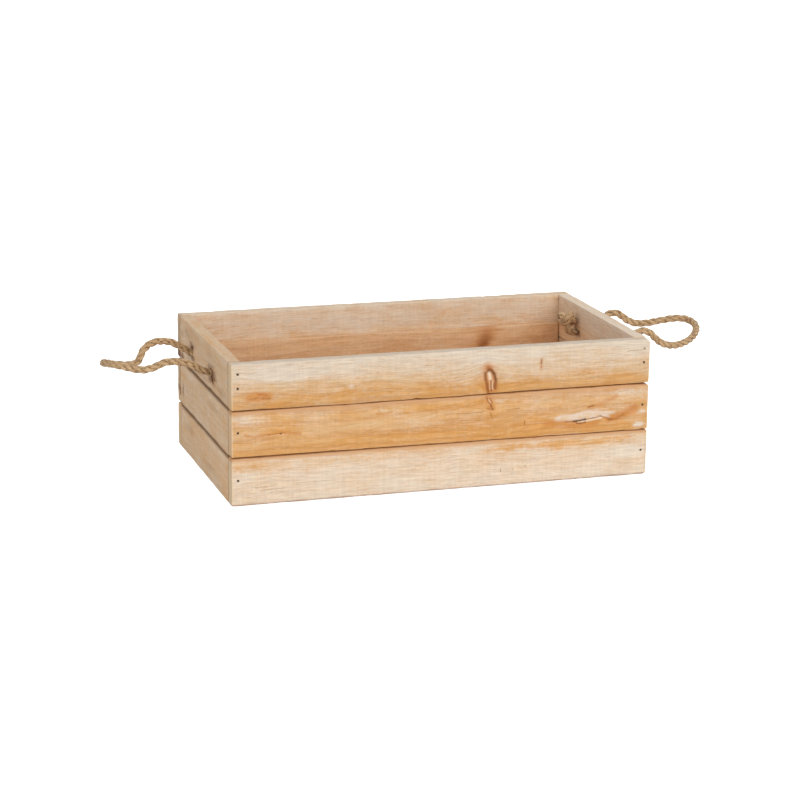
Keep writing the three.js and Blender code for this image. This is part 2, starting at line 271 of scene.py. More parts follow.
def rope_line(name, knot):
    """The middle of a handle's rope, from its front tail through both holes to its back tail."""
    handle = HANDLES[name]
    low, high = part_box(f"{name}_end_top_board")
    outer = max(abs(low.x), abs(high.x))
    thick = high.x - low.x

    def place(out, across, rise):
        return (handle["side"] * (outer + out), across, handle["hole_height"] + rise)

    def lifted(out, across, rise):
        hole = "back" if across > 0 else "front"
        share = max(0.0, 1 - (out - handle["hinge_out"]) / LIFT_REACH)
        return place(out, across, rise + share * handle["hinge_lift"][hole])

    def half(hole, outward):
        across = HOLE_ACROSS[hole]
        tied = lift_knot(knot, handle["knot_lift"][hole], handle["knot_turn"][hole])
        points = [place(-thick - a, across + outward * b, c) for a, b, c in tied[::-1]]
        points += [place(-thick * k / 4, across, 0) for k in (3, 2, 1, 0)]
        for k in (0.25, 0.5, 0.75, 1.0):
            rise = (handle["hinge_rise"] + handle["hinge_lift"][hole]) * k ** handle["hinge_bend"][hole]
            points.append(place(handle["hinge_out"] * k, across, rise))
        return points

    points = half("front", -1)
    points += [lifted(*point) for point in handle["route"]]
    points += half("back", 1)[::-1]
    return evenly(smooth_curve(points), ROPE_STEP)


# Strands, with their swells, yarns and frayed tails, and loose fibres. Shares have no unit.
STRANDS = 3
STRAND_SIDES = 24
STRAND_RADIUS = 0.00226
STRAND_OFFSET = 0.00136
STRAND_LAY = 0.024
SWELLS_PER_METRE = 110
SWELL_TURN = 0.35
SWELL_RADIUS = 0.08
SWELL_OFFSET = 0.07
KNOT_FULLNESS = 0.1
KNOT_REACH = 0.065
KNOT_FADE = 0.01
YARNS = 6
YARN_DEPTH = 0.13
YARN_LAY = 0.05
# Painted shade: how dark the rope is painted between its yarns and in the creases between strands
YARN_SHADE = 0.35
CREASE_START = 0.72
CREASE_DEPTH = 0.24
FRAY_LENGTH = 0.0055
FRAY_THINNING = 0.45
FRAY_SPREAD = 0.55
FIBRES_PER_METRE = 4200
FIBRES_PER_TAIL = 70
FIBRE_RADIUS = 0.000045
FIBRE_LENGTHS = (0.001, 0.0026)
FIBRE_LIFT = 0.55
FIBRE_TAPER = 0.22


def unit(vectors):
    return vectors / np.maximum(np.linalg.norm(vectors, axis=-1, keepdims=True), 1e-12)


def rope_frames(line):
    """Directions along the line and two across it, which turn with the line and not about it."""
    along = unit(np.gradient(line, axis=0))
    side = np.zeros_like(line)
    last = unit(np.cross(along[0], (0.3, 0.2, 1.0)))
    for k, direction in enumerate(along):
        last = unit(last - direction * np.dot(last, direction))
        side[k] = last
    return along, side, np.cross(along, side)


def add_tube(soup, rings, strand, shade):
    """Adds a closed tube: rings of points, each point with its place on the strand and its painted shade."""
    first = len(soup["points"])
    count, sides = rings.shape[:2]
    for key, values in (("points", rings), ("strand", strand), ("shade", shade)):
        soup[key] += values.reshape(-1, *values.shape[2:]).tolist()
        soup[key] += [values[0].mean(0).tolist(), values[-1].mean(0).tolist()]
    for i in range(count - 1):
        for j in range(sides):
            a = first + i * sides + j
            b = first + i * sides + (j + 1) % sides
            soup["faces"].append((a, b, b + sides, a + sides))
    start = first + count * sides
    for j in range(sides):
        k = (j + 1) % sides
        soup["faces"].append((start, first + k, first + j))
        soup["faces"].append((start + 1, start - sides + j, start - sides + k))


def add_strands(soup, line, seed):
    """Adds the strands, twisted and with their yarns and painted shade, fuller in the knots and spread at
    the tails.
    """
    _, side, up = rope_frames(line)
    places = np.arange(len(line)) * ROPE_STEP
    to_end = np.minimum(places, places[-1] - places)
    fray = np.clip(1 - to_end / FRAY_LENGTH, 0, 1)
    angles = 2 * math.pi * np.arange(STRAND_SIDES) / STRAND_SIDES
    for strand in range(STRANDS):
        turn = 2 * math.pi * (places / STRAND_LAY + strand / STRANDS)
        swell = np.array([noise.noise((SWELLS_PER_METRE * s, 3.7 * strand, seed)) for s in places])
        turn = turn + SWELL_TURN * swell
        full = 1 + KNOT_FULLNESS * np.clip((KNOT_REACH - to_end) / KNOT_FADE, 0, 1)
        radius = STRAND_RADIUS * full * (1 + SWELL_RADIUS * swell) * (1 - FRAY_THINNING * fray)
        offset = STRAND_OFFSET * (1 + SWELL_OFFSET * swell[::-1] + FRAY_SPREAD * fray)
        middle = line + offset[:, None] * (np.cos(turn)[:, None] * side + np.sin(turn)[:, None] * up)
        twist = angles[None, :] + (2 * math.pi * places / YARN_LAY + 1.3 * strand)[:, None]
        ridge = np.abs(np.cos(YARNS * twist / 2))
        size = radius[:, None] * (1 - YARN_DEPTH * (1 - ridge) ** 1.5)
        out_side = np.cos(angles)[None, :, None] * side[:, None, :]
        out_up = np.sin(angles)[None, :, None] * up[:, None, :]
        rings = middle[:, None, :] + size[:, :, None] * (out_side + out_up)
        from_middle = np.linalg.norm(rings - line[:, None, :], axis=2) / (STRAND_RADIUS + STRAND_OFFSET)
        # Painted shade, darkest between the yarns and in the creases between strands
        shade = YARN_SHADE * ridge + (1 - YARN_SHADE)
        shade = np.clip(shade, 0, 1) * np.clip((from_middle - CREASE_START) / CREASE_DEPTH, 0, 1)
        strand_place = np.stack([
            np.broadcast_to(places[:, None] + strand, size.shape),
            STRAND_RADIUS * np.cos(twist),
            STRAND_RADIUS * np.sin(twist),
        ], axis=2)
        add_tube(soup, rings, strand_place, shade)


def add_fibre(soup, start, going, away, length, draw):
    """A loose fibre, three-sided and tapered, that leaves the rope and curls."""
    side = unit(np.cross(going, away))
    curl = draw.uniform(-0.5, 0.5)
    middles = []
    for k in range(4):
        s = k / 3
        middles.append(start + length * (s * going + FIBRE_LIFT * s * s * away + curl * s * s * side))
    rings = []
    for k, middle in enumerate(middles):
        radius = FIBRE_RADIUS * (1 - FIBRE_TAPER * k)
        rings.append([middle + radius * (math.cos(a) * side + math.sin(a) * away) for a in (0.0, 2.1, 4.2)])
    rings = np.array(rings)
    strand = np.full(rings.shape, draw.uniform(0, 3))
    add_tube(soup, rings, strand, np.full(rings.shape[:2], draw.uniform(0.75, 1.0)))


def add_fuzz(soup, line, seed):
    """Adds loose fibres all along the rope, and more at its two tails."""
    draw = random.Random(seed)
    along, side, up = rope_frames(line)

    def outward(k):
        angle = draw.uniform(0, 2 * math.pi)
        return math.cos(angle) * side[k] + math.sin(angle) * up[k]

    for _ in range(int(FIBRES_PER_METRE * ROPE_STEP * len(line))):
        k = draw.randrange(6, len(line) - 6)
        away = outward(k)
        around = np.cross(along[k], away)
        going = draw.choice((-1, 1)) * along[k]
        going = unit(going + draw.uniform(-0.5, 0.5) * around + draw.uniform(0, 0.35) * away)
        start = line[k] + 0.5 * ROPE_DIAMETER * away
        add_fibre(soup, start, going, away, draw.uniform(*FIBRE_LENGTHS), draw)
    for end, step in ((0, -1), (len(line) - 1, 1)):
        for _ in range(FIBRES_PER_TAIL):
            away = outward(end)
            going = unit(step * along[end] + draw.uniform(0.0, 0.5) * away)
            start = line[end] + draw.uniform(0.0, 0.0024) * away - step * 0.001 * along[end]
            add_fibre(soup, start, going, away, draw.uniform(*FIBRE_LENGTHS), draw)


def add_rope(name, knot, seed):
    """A handle's rope in one mesh, which stands for the rope's three solids."""
    line = rope_line(name, knot)
    soup = {"points": [], "faces": [], "strand": [], "shade": []}
    add_strands(soup, line, seed)
    add_fuzz(soup, line, seed)
    mesh = bpy.data.meshes.new(f"{name}_rope")
    mesh.from_pydata(soup["points"], [], soup["faces"])
    strand = mesh.attributes.new("strand", "FLOAT_VECTOR", "POINT")
    strand.data.foreach_set("vector", np.ravel(soup["strand"]))
    shade = mesh.attributes.new("shade", "FLOAT", "POINT")
    shade.data.foreach_set("value", soup["shade"])
    mesh.polygons.foreach_set("use_smooth", [True] * len(mesh.polygons))
    mesh.validate()
    rope = bpy.data.objects.new(f"{name}_rope", mesh)
    scene.collection.objects.link(rope)
    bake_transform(rope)
    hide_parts(f"{name}_rope_loop", f"{name}_rope_front_end", f"{name}_rope_back_end")
    return rope


# Shader helpers: nodes are added with values, or with other nodes' sockets, as their inputs
class Tree:
    def __init__(self, tree):
        self.tree = tree

    def node(self, kind, inputs=None, **settings):
        node = self.tree.nodes.new(kind)
        for key, value in settings.items():
            setattr(node, key, value)
        for key, value in (inputs or {}).items():
            if isinstance(value, bpy.types.NodeSocket):
                self.tree.links.new(value, node.inputs[key])
            else:
                node.inputs[key].default_value = value
        return node

    def group(self, group, inputs):
        return self.node("ShaderNodeGroup", inputs, node_tree=group).outputs

    def give(self, out, **values):
        """Hands values over to the outputs of a group."""
        for name, value in values.items():
            self.tree.links.new(value, out[name])

    def math(self, operation, a, b=0.0):
        return self.node("ShaderNodeMath", {0: a, 1: b}, operation=operation).outputs[0]

    def add(self, a, b):
        return self.math("ADD", a, b)

    def less(self, a, b):
        return self.math("SUBTRACT", a, b)

    def times(self, a, b):
        return self.math("MULTIPLY", a, b)

    def vector(self, operation, a, b=(0.0, 0.0, 0.0)):
        return self.node("ShaderNodeVectorMath", {0: a, 1: b}, operation=operation).outputs[0]

    def split(self, vector):
        return self.node("ShaderNodeSeparateXYZ", {0: vector}).outputs

    def join(self, x, y, z):
        return self.node("ShaderNodeCombineXYZ", {0: x, 1: y, 2: z}).outputs[0]

    def ease(self, value, low, high, to_low=0.0, to_high=1.0):
        """Goes smoothly from one value to another as the input goes from low to high."""
        inputs = {0: value, 1: low, 2: high, 3: to_low, 4: to_high}
        return self.node("ShaderNodeMapRange", inputs, interpolation_type="SMOOTHSTEP").outputs[0]

    def fade(self, value, low, high):
        """Goes smoothly from one to nothing as the input goes from low to high."""
        return self.ease(value, low, high, 1.0, 0.0)

    def mix(self, factor, a, b, blend="MIX"):
        inputs = {0: factor, 6: a, 7: b}
        return self.node("ShaderNodeMix", inputs, data_type="RGBA", blend_type=blend).outputs[2]

    def noise(self, place, along, across, detail=2.0, roughness=0.5):
        """Noise of mean one half, with one scale along the grain and another across it."""
        spread = self.vector("MULTIPLY", place, (along, across, across))
        inputs = {"Vector": spread, "Scale": 1.0, "Detail": detail, "Roughness": roughness}
        return self.node("ShaderNodeTexNoise", inputs).outputs[0]

    def around(self, value, share):
        """A noise of mean one half, turned into a change of up to plus or minus half the share."""
        return self.times(self.less(value, 0.5), share)

    def total(self, values, operation):
        """All the values put together by one operation, or nothing where there are none."""
        result = values[0] if values else 0.0
        for value in values[1:]:
            result = self.math(operation, result, value)
        return result


def start_group(name, vectors, values, outputs):
    """A group that takes vectors and values and gives values, with its tree, inputs and outputs."""
    group = bpy.data.node_groups.new(name, "ShaderNodeTree")
    for titles, way, kind in (
        (vectors, "INPUT", "NodeSocketVector"),
        (values, "INPUT", "NodeSocketFloat"),
        (outputs, "OUTPUT", "NodeSocketFloat"),
    ):
        for title in titles:
            group.interface.new_socket(name=title, in_out=way, socket_type=kind)
    tree = Tree(group)
    return group, tree, tree.node("NodeGroupInput").outputs, tree.node("NodeGroupOutput").inputs


def start_material(name):
    material = bpy.data.materials.new(name)
    material.use_nodes = True
    material.node_tree.nodes.clear()
    return material, Tree(material.node_tree)


def end_material(tree, inputs, bump=None):
    """Ends a material with its shader and, where it has one, its bump: strength, distance and height."""
    shader = tree.node("ShaderNodeBsdfPrincipled", inputs)
    if bump:
        relief = tree.node("ShaderNodeBump", dict(zip(("Strength", "Distance", "Height"), bump)))
        tree.tree.links.new(relief.outputs[0], shader.inputs["Normal"])
    output = tree.node("ShaderNodeOutputMaterial")
    tree.tree.links.new(shader.outputs[0], output.inputs["Surface"])


def tone(red, green, blue):
    """A colour as a screen shows it, from 0 to 255, turned into the linear one that a shader takes."""
    parts = [c / 255 for c in (red, green, blue)]
    return tuple(c / 12.92 if c <= 0.04045 else ((c + 0.055) / 1.055) ** 2.4 for c in parts) + (1.0,)


# Shader groups for wood. A board's own place runs along its grain, up its face and into its thickness.
def reach_from(tree, into):
    """How far a point is above an oval's middle, and along and up from it as shares of its half sizes."""
    place = tree.split(into["Place"])
    rise = tree.less(place[1], into["Up"])
    run = tree.less(tree.less(place[0], into["Along"]), tree.times(rise, into["Lean"]))
    across = tree.math("DIVIDE", run, into["Half Length"])
    upward = tree.math("DIVIDE", rise, into["Half Height"])
    return rise, across, upward


OVAL = ("Along", "Up", "Half Length", "Half Height", "Lean")


def make_knot_group():
    """A knot: how far it pushes the grain aside, its core, its dark rim and the stain around it."""
    group, tree, into, out = start_group("wood knot", ("Place",), OVAL, ("Shift", "Core", "Rim", "Halo"))
    rise, across, upward = reach_from(tree, into)
    across = tree.times(across, across)
    upward = tree.times(upward, upward)
    reach = tree.math("SQRT", tree.add(across, upward))
    push = tree.math("DIVIDE", rise, tree.add(tree.add(tree.times(across, 0.16), upward), 0.55))
    stain = tree.math("SQRT", tree.add(tree.times(across, 0.3), upward))
    tree.give(
        out,
        Shift=push,
        Core=tree.fade(reach, 0.8, 1.08),
        Rim=tree.times(tree.ease(reach, 0.55, 0.95), tree.fade(reach, 1.0, 1.45)),
        Halo=tree.fade(stain, 0.7, 2.4),
    )
    return group


def make_patch_group():
    """A soft oval patch with a ragged edge that is drawn out along the grain."""
    group, tree, into, out = start_group("ragged patch", ("Place",), (*OVAL, "Ragged"), ("Mask",))
    _, across, upward = reach_from(tree, into)
    reach = tree.math("SQRT", tree.add(tree.times(across, across), tree.times(upward, upward)))
    tree.give(out, Mask=tree.fade(tree.add(reach, into["Ragged"]), 0.2, 1.15))
    return group


def make_line_group():
    """A ragged line from one place on the board's face to another, such as a crack or a streak."""
    vectors = ("Place", "From", "Step")
    group, tree, into, out = start_group("ragged line", vectors, ("Half Width", "Ragged"), ("Mask",))
    flat = tree.vector("MULTIPLY", tree.vector("SUBTRACT", into["Place"], into["From"]), (1.0, 1.0, 0.0))
    dots = []
    for a in (flat, into["Step"]):
        dot = tree.node("ShaderNodeVectorMath", {0: a, 1: into["Step"]}, operation="DOT_PRODUCT")
        dots.append(dot.outputs["Value"])
    share = tree.math("MAXIMUM", tree.math("MINIMUM", tree.math("DIVIDE", *dots), 1.0), 0.0)
    nearest = tree.node("ShaderNodeVectorMath", {0: into["Step"], "Scale": share}, operation="SCALE")
    gap = tree.node("ShaderNodeVectorMath", {0: flat, 1: nearest.outputs[0]}, operation="DISTANCE")
    gap = tree.add(tree.math("DIVIDE", gap.outputs["Value"], into["Half Width"]), into["Ragged"])
    tree.give(out, Mask=tree.fade(gap, 0.1, 1.4))
    return group


def make_edge_group():
    """How near a point is to the edges of its board, to its sawn ends and to its upper edge."""
    outputs = ("Edge", "End", "Top")
    group, tree, into, out = start_group("board edge", ("Place", "Half Size"), ("Worn",), outputs)
    inside = tree.vector("SUBTRACT", into["Half Size"], tree.vector("ABSOLUTE", into["Place"]))
    a, b, c = tree.split(inside)
    second = tree.math("MINIMUM", tree.math("MAXIMUM", a, b), c)
    second = tree.math("MAXIMUM", tree.math("MINIMUM", a, b), second)
    below = tree.less(tree.split(into["Half Size"])[1], tree.split(into["Place"])[1])
    tree.give(
        out,
        Edge=tree.fade(tree.add(second, into["Worn"]), 0.0004, 0.0024),
        End=tree.fade(a, 0.0008, 0.0018),
        Top=tree.fade(tree.add(below, into["Worn"]), 0.001, 0.0036),
    )
    return group


def make_grain_group():
    """Annual rings, fibres, streaks and dashes, which bend round knots, changes of tone, and saw marks."""
    values = ("Shift", "Pith Up", "Pith In", "Ring Width")
    outputs = ("Late", "Fibre", "Streak", "Cloud", "Speck", "Dash", "Saw")
    group, tree, into, out = start_group("pine grain", ("Place", "Seed"), values, outputs)
    seeded = tree.vector("ADD", into["Place"], into["Seed"])
    place = tree.split(into["Place"])
    slow = tree.noise(seeded, 5, 20)
    up = tree.add(tree.less(place[1], into["Shift"]), tree.around(slow, 0.026))
    rise = tree.less(up, into["Pith Up"])
    depth = tree.less(place[2], into["Pith In"])
    radius = tree.math("SQRT", tree.add(tree.times(rise, rise), tree.times(depth, depth)))
    uneven = tree.around(tree.noise(seeded, 2.5, 40, 1.0), 2.4)
    ring = tree.math("FRACT", tree.add(tree.math("DIVIDE", radius, into["Ring Width"]), uneven))
    flowing = tree.vector("ADD", tree.join(place[0], up, place[2]), into["Seed"])
    tree.give(
        out,
        Late=tree.times(tree.ease(ring, 0.3, 0.88), tree.fade(ring, 0.9, 1.0)),
        Fibre=tree.noise(flowing, 65, 1050, 3.0, 0.6),
        Streak=tree.noise(flowing, 13, 270, 3.0, 0.62),
        Cloud=tree.noise(seeded, 22, 75, 3.0, 0.55),
        Speck=tree.noise(seeded, 260, 420, 2.0, 0.6),
        Dash=tree.noise(flowing, 85, 800, 1.0),
        Saw=tree.noise(seeded, 480, 30, 2.0, 0.6),
    )
    return group


def make_wash_group():
    """White wash that was brushed on along the grain and rubbed off again."""
    group, tree, into, out = start_group("rubbed wash", ("Place",), ("Cover", "Fibre"), ("Mask",))
    place = tree.vector("ADD", into["Place"], (7.1, 3.3, 5.9))
    cover = tree.total([
        into["Cover"],
        tree.around(tree.noise(place, 10, 210, 3.0, 0.62), 0.6),
        tree.around(tree.noise(place, 30, 60, 3.0, 0.6), 1.1),
        tree.around(tree.noise(place, 300, 420, 2.0, 0.6), 0.7),
        tree.around(into["Fibre"], 0.35),
    ], "ADD")
    tree.give(out, Mask=tree.ease(cover, -0.12, 1.12))
    return group


KNOT_GROUP = make_knot_group()
PATCH_GROUP = make_patch_group()
LINE_GROUP = make_line_group()
EDGE_GROUP = make_edge_group()
GRAIN_GROUP = make_grain_group()
WASH_GROUP = make_wash_group()

# Woods: the tones of a wood, from its early wood to its stains
WASHED_PINE = {
    "pale": tone(224, 190, 146),
    "gold": tone(215, 157, 88),
    "late": tone(188, 122, 58),
    "wash": tone(227, 213, 195),
    "knot": tone(112, 62, 28),
    "core": tone(172, 108, 56),
    "end": tone(227, 197, 157),
    "orange": tone(196, 122, 54),
    "stain": tone(140, 80, 36),
    "crack": tone(66, 42, 28),
    "white": tone(230, 206, 178),
    "torn": tone(228, 209, 198),
    # Rubbed: the upper edges' tone, partly wash rubbed off and partly a painted highlight on the rounded
    # edge, set light against the shade of the narrow gaps
    "rubbed": tone(222, 184, 142),
}
BARE_PINE = {
    **WASHED_PINE,
    "pale": tone(230, 190, 146),
    "gold": tone(216, 162, 110),
    "late": tone(182, 120, 70),
    "wash": tone(230, 204, 170),
    "knot": tone(96, 58, 30),
    "core": tone(146, 94, 54),
    "end": tone(196, 152, 110),
}
WOODS = {"washed_pine": WASHED_PINE, "bare_pine": BARE_PINE}

# How a board lies: the turn from the crate's axes to its own, along the grain, up its face and into it
LONG_TURN = Matrix(((1, 0, 0), (0, 0, 1), (0, -1, 0)))
SHORT_TURN = Matrix(((0, 1, 0), (0, 0, 1), (1, 0, 0)))
FLOOR_TURN = Matrix(((1, 0, 0), (0, 1, 0), (0, 0, 1)))


def oval(place, along, up, length, height, lean):
    return {"Place": place, "Along": along * MM, "Up": up * MM, "Half Length": length * MM,
            "Half Height": height * MM, "Lean": lean}


def patches(tree, shapes, place, ragged):
    """The patches that a look lists, the strongest on top."""
    masks = []
    for *shape, strength in shapes:
        mask = tree.group(PATCH_GROUP, {**oval(place, *shape), "Ragged": ragged})["Mask"]
        masks.append(tree.times(mask, strength))
    return tree.total(masks, "MAXIMUM")


def draw_lines(tree, colour, lines, wood, place, ragged):
    """Draws the lines that a look lists over a colour, and gives how deep they cut as well."""
    deep = []
    for name, width, strength, points in lines:
        masks = []
        for (a, b), (c, d) in zip(points, points[1:]):
            masks.append(tree.group(LINE_GROUP, {
                "Place": place, "From": (a * MM, b * MM, 0), "Step": ((c - a) * MM, (d - b) * MM, 0),
                "Half Width": width * MM, "Ragged": ragged,
            })["Mask"])
        mask = tree.total(masks, "MAXIMUM")
        colour = tree.mix(tree.times(mask, strength), colour, wood[name])
        if name == "crack":
            deep.append(mask)
    return colour, tree.total(deep, "MAXIMUM")


# What a board's look says where it lists nothing else, and what that of a board inside says
PLAIN_LOOK = {
    "figure": 1.0, "shade": 1.0, "gold_tilt": 0.0, "wash_tilt": 0.0, "late": 0.3, "dash": 0.3, "rubbed": 0.0,
    "rings": 3.2, "pith_up": 10, "pith_in": 60, "round": 2.0, "torn": False,
    "knots": (), "bends": (), "gold_patches": (), "wash_patches": (), "bare_patches": (), "dark_patches": (),
    "lines": (), "chips": (), "corners": {(-1, -1): 1.4, (-1, 1): 1.4, (1, -1): 1.4, (1, 1): 1.4},
}
INNER_LOOK = {**PLAIN_LOOK, "late": 0.35, "corners": {}}
WASH_STRENGTH = 0.88
EDGE_WASH = 0.2


def wood_material(node, turn, wood, look):
    """A board's own wood, in its own place, with the knots, patches, lines and wash that its look lists."""
    low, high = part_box(node)
    middle = turn @ ((low + high) / 2)
    half = Vector([abs(part) for part in turn @ ((high - low) / 2)])
    material, tree = start_material(node)
    draw = random.Random(look["seed"])
    seed = Vector([draw.uniform(3, 40) for _ in range(3)])
    figure = look["figure"]

    place = tree.node("ShaderNodeMapping", {
        "Vector": tree.node("ShaderNodeTexCoord").outputs["Object"],
        "Location": -middle,
        "Rotation": turn.to_euler(),
    }).outputs[0]
    seeded = tree.vector("ADD", place, seed)
    wander = tree.around(tree.noise(seeded, 60, 90), 1.0)
    ragged = tree.around(tree.noise(seeded, 55, 300, 3.0, 0.65), 1.7)
    wobble = tree.join(tree.times(wander, 0.007), tree.times(wander, 0.005), 0.0)
    wobbly = tree.vector("ADD", place, wobble)
    height = tree.math("DIVIDE", tree.split(place)[1], half.y)

    def patched(kind):
        return patches(tree, look[kind], wobbly, ragged)

    knots = [tree.group(KNOT_GROUP, oval(wobbly, *shape)) for *shape, _ in look["knots"]]
    bends = [tree.group(KNOT_GROUP, oval(wobbly, *shape)) for shape in look["bends"]]
    core, rim, halo = [
        tree.total([knot[part] for knot in knots], "MAXIMUM") for part in ("Core", "Rim", "Halo")
    ]
    pale = [tree.times(knot["Core"], shape[-1]) for knot, shape in zip(knots, look["knots"])]
    pale_core = tree.total(pale, "MAXIMUM")
    grain = tree.group(GRAIN_GROUP, {
        "Place": place, "Seed": seed,
        "Shift": tree.total([knot["Shift"] for knot in knots + bends], "ADD"),
        "Pith Up": look["pith_up"] * MM, "Pith In": look["pith_in"] * MM,
        "Ring Width": look["rings"] * MM,
    })
    worn = tree.add(tree.around(grain["Cloud"], 0.006), tree.around(grain["Speck"], 0.003))
    edge = tree.group(EDGE_GROUP, {"Place": place, "Half Size": half, "Worn": worn})

    gold = tree.total([
        look["gold"],
        tree.times(height, look["gold_tilt"]),
        tree.around(grain["Cloud"], 1.5 * figure),
        tree.around(grain["Streak"], 0.75 * figure),
        tree.times(halo, 0.45),
        patched("gold_patches"),
    ], "ADD")
    colour = tree.mix(tree.ease(gold, -0.15, 1.15), wood["pale"], wood["gold"])
    late = tree.times(grain["Late"], tree.add(look["late"], tree.times(halo, 0.3)))
    colour = tree.mix(late, colour, wood["late"])
    colour = tree.mix(tree.times(halo, 0.3), colour, wood["late"])

    cover = tree.add(look["wash"], tree.times(height, look["wash_tilt"]))
    cover = tree.add(cover, patched("wash_patches"))
    cover = tree.less(cover, patched("bare_patches"))
    cover = tree.less(cover, tree.times(halo, 0.6))
    cover = tree.add(cover, tree.times(edge["Edge"], EDGE_WASH))
    washed = tree.group(WASH_GROUP, {"Place": seeded, "Cover": cover, "Fibre": grain["Fibre"]})["Mask"]
    colour = tree.mix(tree.times(washed, WASH_STRENGTH), colour, wood["wash"])

    dash = tree.times(tree.fade(grain["Dash"], 0.27, 0.36), look["dash"])
    colour = tree.mix(dash, colour, wood["late"])
    fibre = tree.ease(grain["Fibre"], 0.32, 0.68, 1 - 0.12 * figure, 1 + 0.05 * figure)
    sawn = tree.ease(grain["Saw"], 0.3, 0.7, 0.965 * look["shade"], 1.02 * look["shade"])
    fibre = tree.times(fibre, sawn)
    colour = tree.mix(1.0, colour, tree.join(fibre, fibre, fibre), "MULTIPLY")
    for mask, share, name in (
        (edge["End"], 0.6, "end"),
        # The upper edge takes the rubbed tone: wash rubbed off there, and a painted highlight on the rounded
        # edge
        (edge["Top"], look["rubbed"], "rubbed"),
        (core, 0.8, "core"),
        (pale_core, 0.9, "white"),
        (rim, 0.75, "knot"),
    ):
        colour = tree.mix(tree.times(mask, share), colour, wood[name])
    colour = tree.mix(tree.math("MINIMUM", patched("dark_patches"), 1.0), colour, wood["knot"])
    if look["torn"]:
        torn = tree.node("ShaderNodeAttribute", attribute_name="torn").outputs["Fac"]
        torn = tree.add(torn, tree.add(tree.around(grain["Streak"], 1.8), tree.around(grain["Fibre"], 0.8)))
        broken = tree.mix(tree.ease(grain["Fibre"], 0.35, 0.65), wood["end"], wood["torn"])
        colour = tree.mix(tree.ease(torn, 0.15, 0.8, 0.0, 0.95), colour, broken)
    small_wobble = tree.vector("ADD", place, tree.vector("MULTIPLY", wobble, (0.35, 0.35, 0.0)))
    colour, deep = draw_lines(tree, colour, look["lines"], wood, small_wobble, tree.times(ragged, 0.6))

    relief = tree.add(tree.times(grain["Fibre"], 0.5), tree.times(grain["Speck"], 0.3))
    relief = tree.add(relief, tree.add(tree.times(grain["Late"], 0.25), tree.times(grain["Saw"], 0.2)))
    relief = tree.less(relief, tree.add(tree.times(rim, 0.5), tree.times(deep, 1.2)))
    rough = tree.add(tree.add(0.66, tree.around(grain["Streak"], 0.2)), tree.times(washed, 0.14))
    inputs = {"Base Color": colour, "Roughness": rough, "Specular IOR Level": 0.3}
    end_material(tree, inputs, bump=(0.35, 0.0006, relief))
    return material


# Boards: sawn blocks with rounded corners and worn edges
EDGE_ROUND = 0.0009
GRAIN_PITCH = 0.004
FACE_PITCH = 0.0033
HOLE_RADIUS = 0.0038
HOLE_DEPTH = 0.02
SLAT_WEAR = 0.0006
SLAT_END_WEAR = 0.0002
END_BOARD_WEAR = 0.0005
INNER_WEAR = 0.0004
TOUCHING = 1e-5
WEAR_REACH = 0.0045
NICK_LEVEL = 0.32
UNEVEN_DEPTH = 0.00012
END_REACH = 0.002
SHIFT_REACH = 0.012


def pick(*pieces):
    """Selects only these pieces, the first of them as the active one."""
    bpy.ops.object.select_all(action="DESELECT")
    for piece in pieces:
        piece.select_set(True)
    bpy.context.view_layer.objects.active = pieces[0]


def start_block(name, low, high):
    """A block between two corners, left in edit mode, with its place in its mesh."""
    bpy.ops.mesh.primitive_cube_add(size=1)
    block = bpy.context.object
    block.name = name
    block.data.name = name
    bpy.ops.object.mode_set(mode="EDIT")
    bpy.ops.mesh.select_all(action="SELECT")
    bpy.ops.transform.resize(value=high - low, center_override=(0, 0, 0))
    bpy.ops.transform.translate(value=(low + high) / 2)
    return block


def select_edges(piece, wanted):
    """Selects, in edit mode, only the edges that are wanted, and gives how long the longest is."""
    bpy.ops.mesh.select_mode(type="EDGE")
    bpy.ops.mesh.select_all(action="DESELECT")
    work = bmesh.from_edit_mesh(piece.data)
    longest = 0.0
    for edge in work.edges:
        if wanted(edge):
            edge.select_set(True)
            longest = max(longest, edge.calc_length())
    bmesh.update_edit_mesh(piece.data)
    return longest


def select_faces(piece, wanted):
    """Selects, in edit mode, only the faces that are wanted."""
    bpy.ops.mesh.select_mode(type="FACE")
    bpy.ops.mesh.select_all(action="DESELECT")
    work = bmesh.from_edit_mesh(piece.data)
    for face in work.faces:
        if wanted(face):
            face.select_set(True)
    bmesh.update_edit_mesh(piece.data)


def runs_along(edge, axis):
    step = edge.verts[1].co - edge.verts[0].co
    return abs(step[axis]) > 0.99 * step.length


def split_along(piece, axis, pitch):
    """Splits the edges that run along an axis until none is much longer than the pitch."""
    while True:
        longest = select_edges(piece, lambda e: runs_along(e, axis) and e.calc_length() > 1.4 * pitch)
        if longest == 0.0:
            return
        bpy.ops.mesh.subdivide(number_cuts=max(1, min(9, round(longest / pitch) - 1)))


def saw_board(node, grain, face, corners):
    """A board that fills its node's box, its long axis along the grain and its broad face along two axes."""
    low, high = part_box(node)
    piece = start_block(f"{node}_wood", low, high)
    thin = 3 - grain - face
    for (grain_sign, face_sign), size in corners.items():
        grain_at = high[grain] if grain_sign > 0 else low[grain]
        face_at = high[face] if face_sign > 0 else low[face]

        def at_corner(edge):
            middle = (edge.verts[0].co + edge.verts[1].co) / 2
            near = abs(middle[grain] - grain_at) < TOUCHING and abs(middle[face] - face_at) < TOUCHING
            return near and runs_along(edge, thin)

        select_edges(piece, at_corner)
        bpy.ops.mesh.bevel(offset=size * MM, segments=3, affect="EDGES")
    select_edges(piece, lambda e: e.calc_face_angle(0.0) > math.radians(50))
    bpy.ops.mesh.bevel(offset=EDGE_ROUND, segments=2, affect="EDGES")
    split_along(piece, grain, GRAIN_PITCH)
    split_along(piece, face, FACE_PITCH)
    split_along(piece, thin, FACE_PITCH)
    bpy.ops.object.mode_set(mode="OBJECT")
    return piece


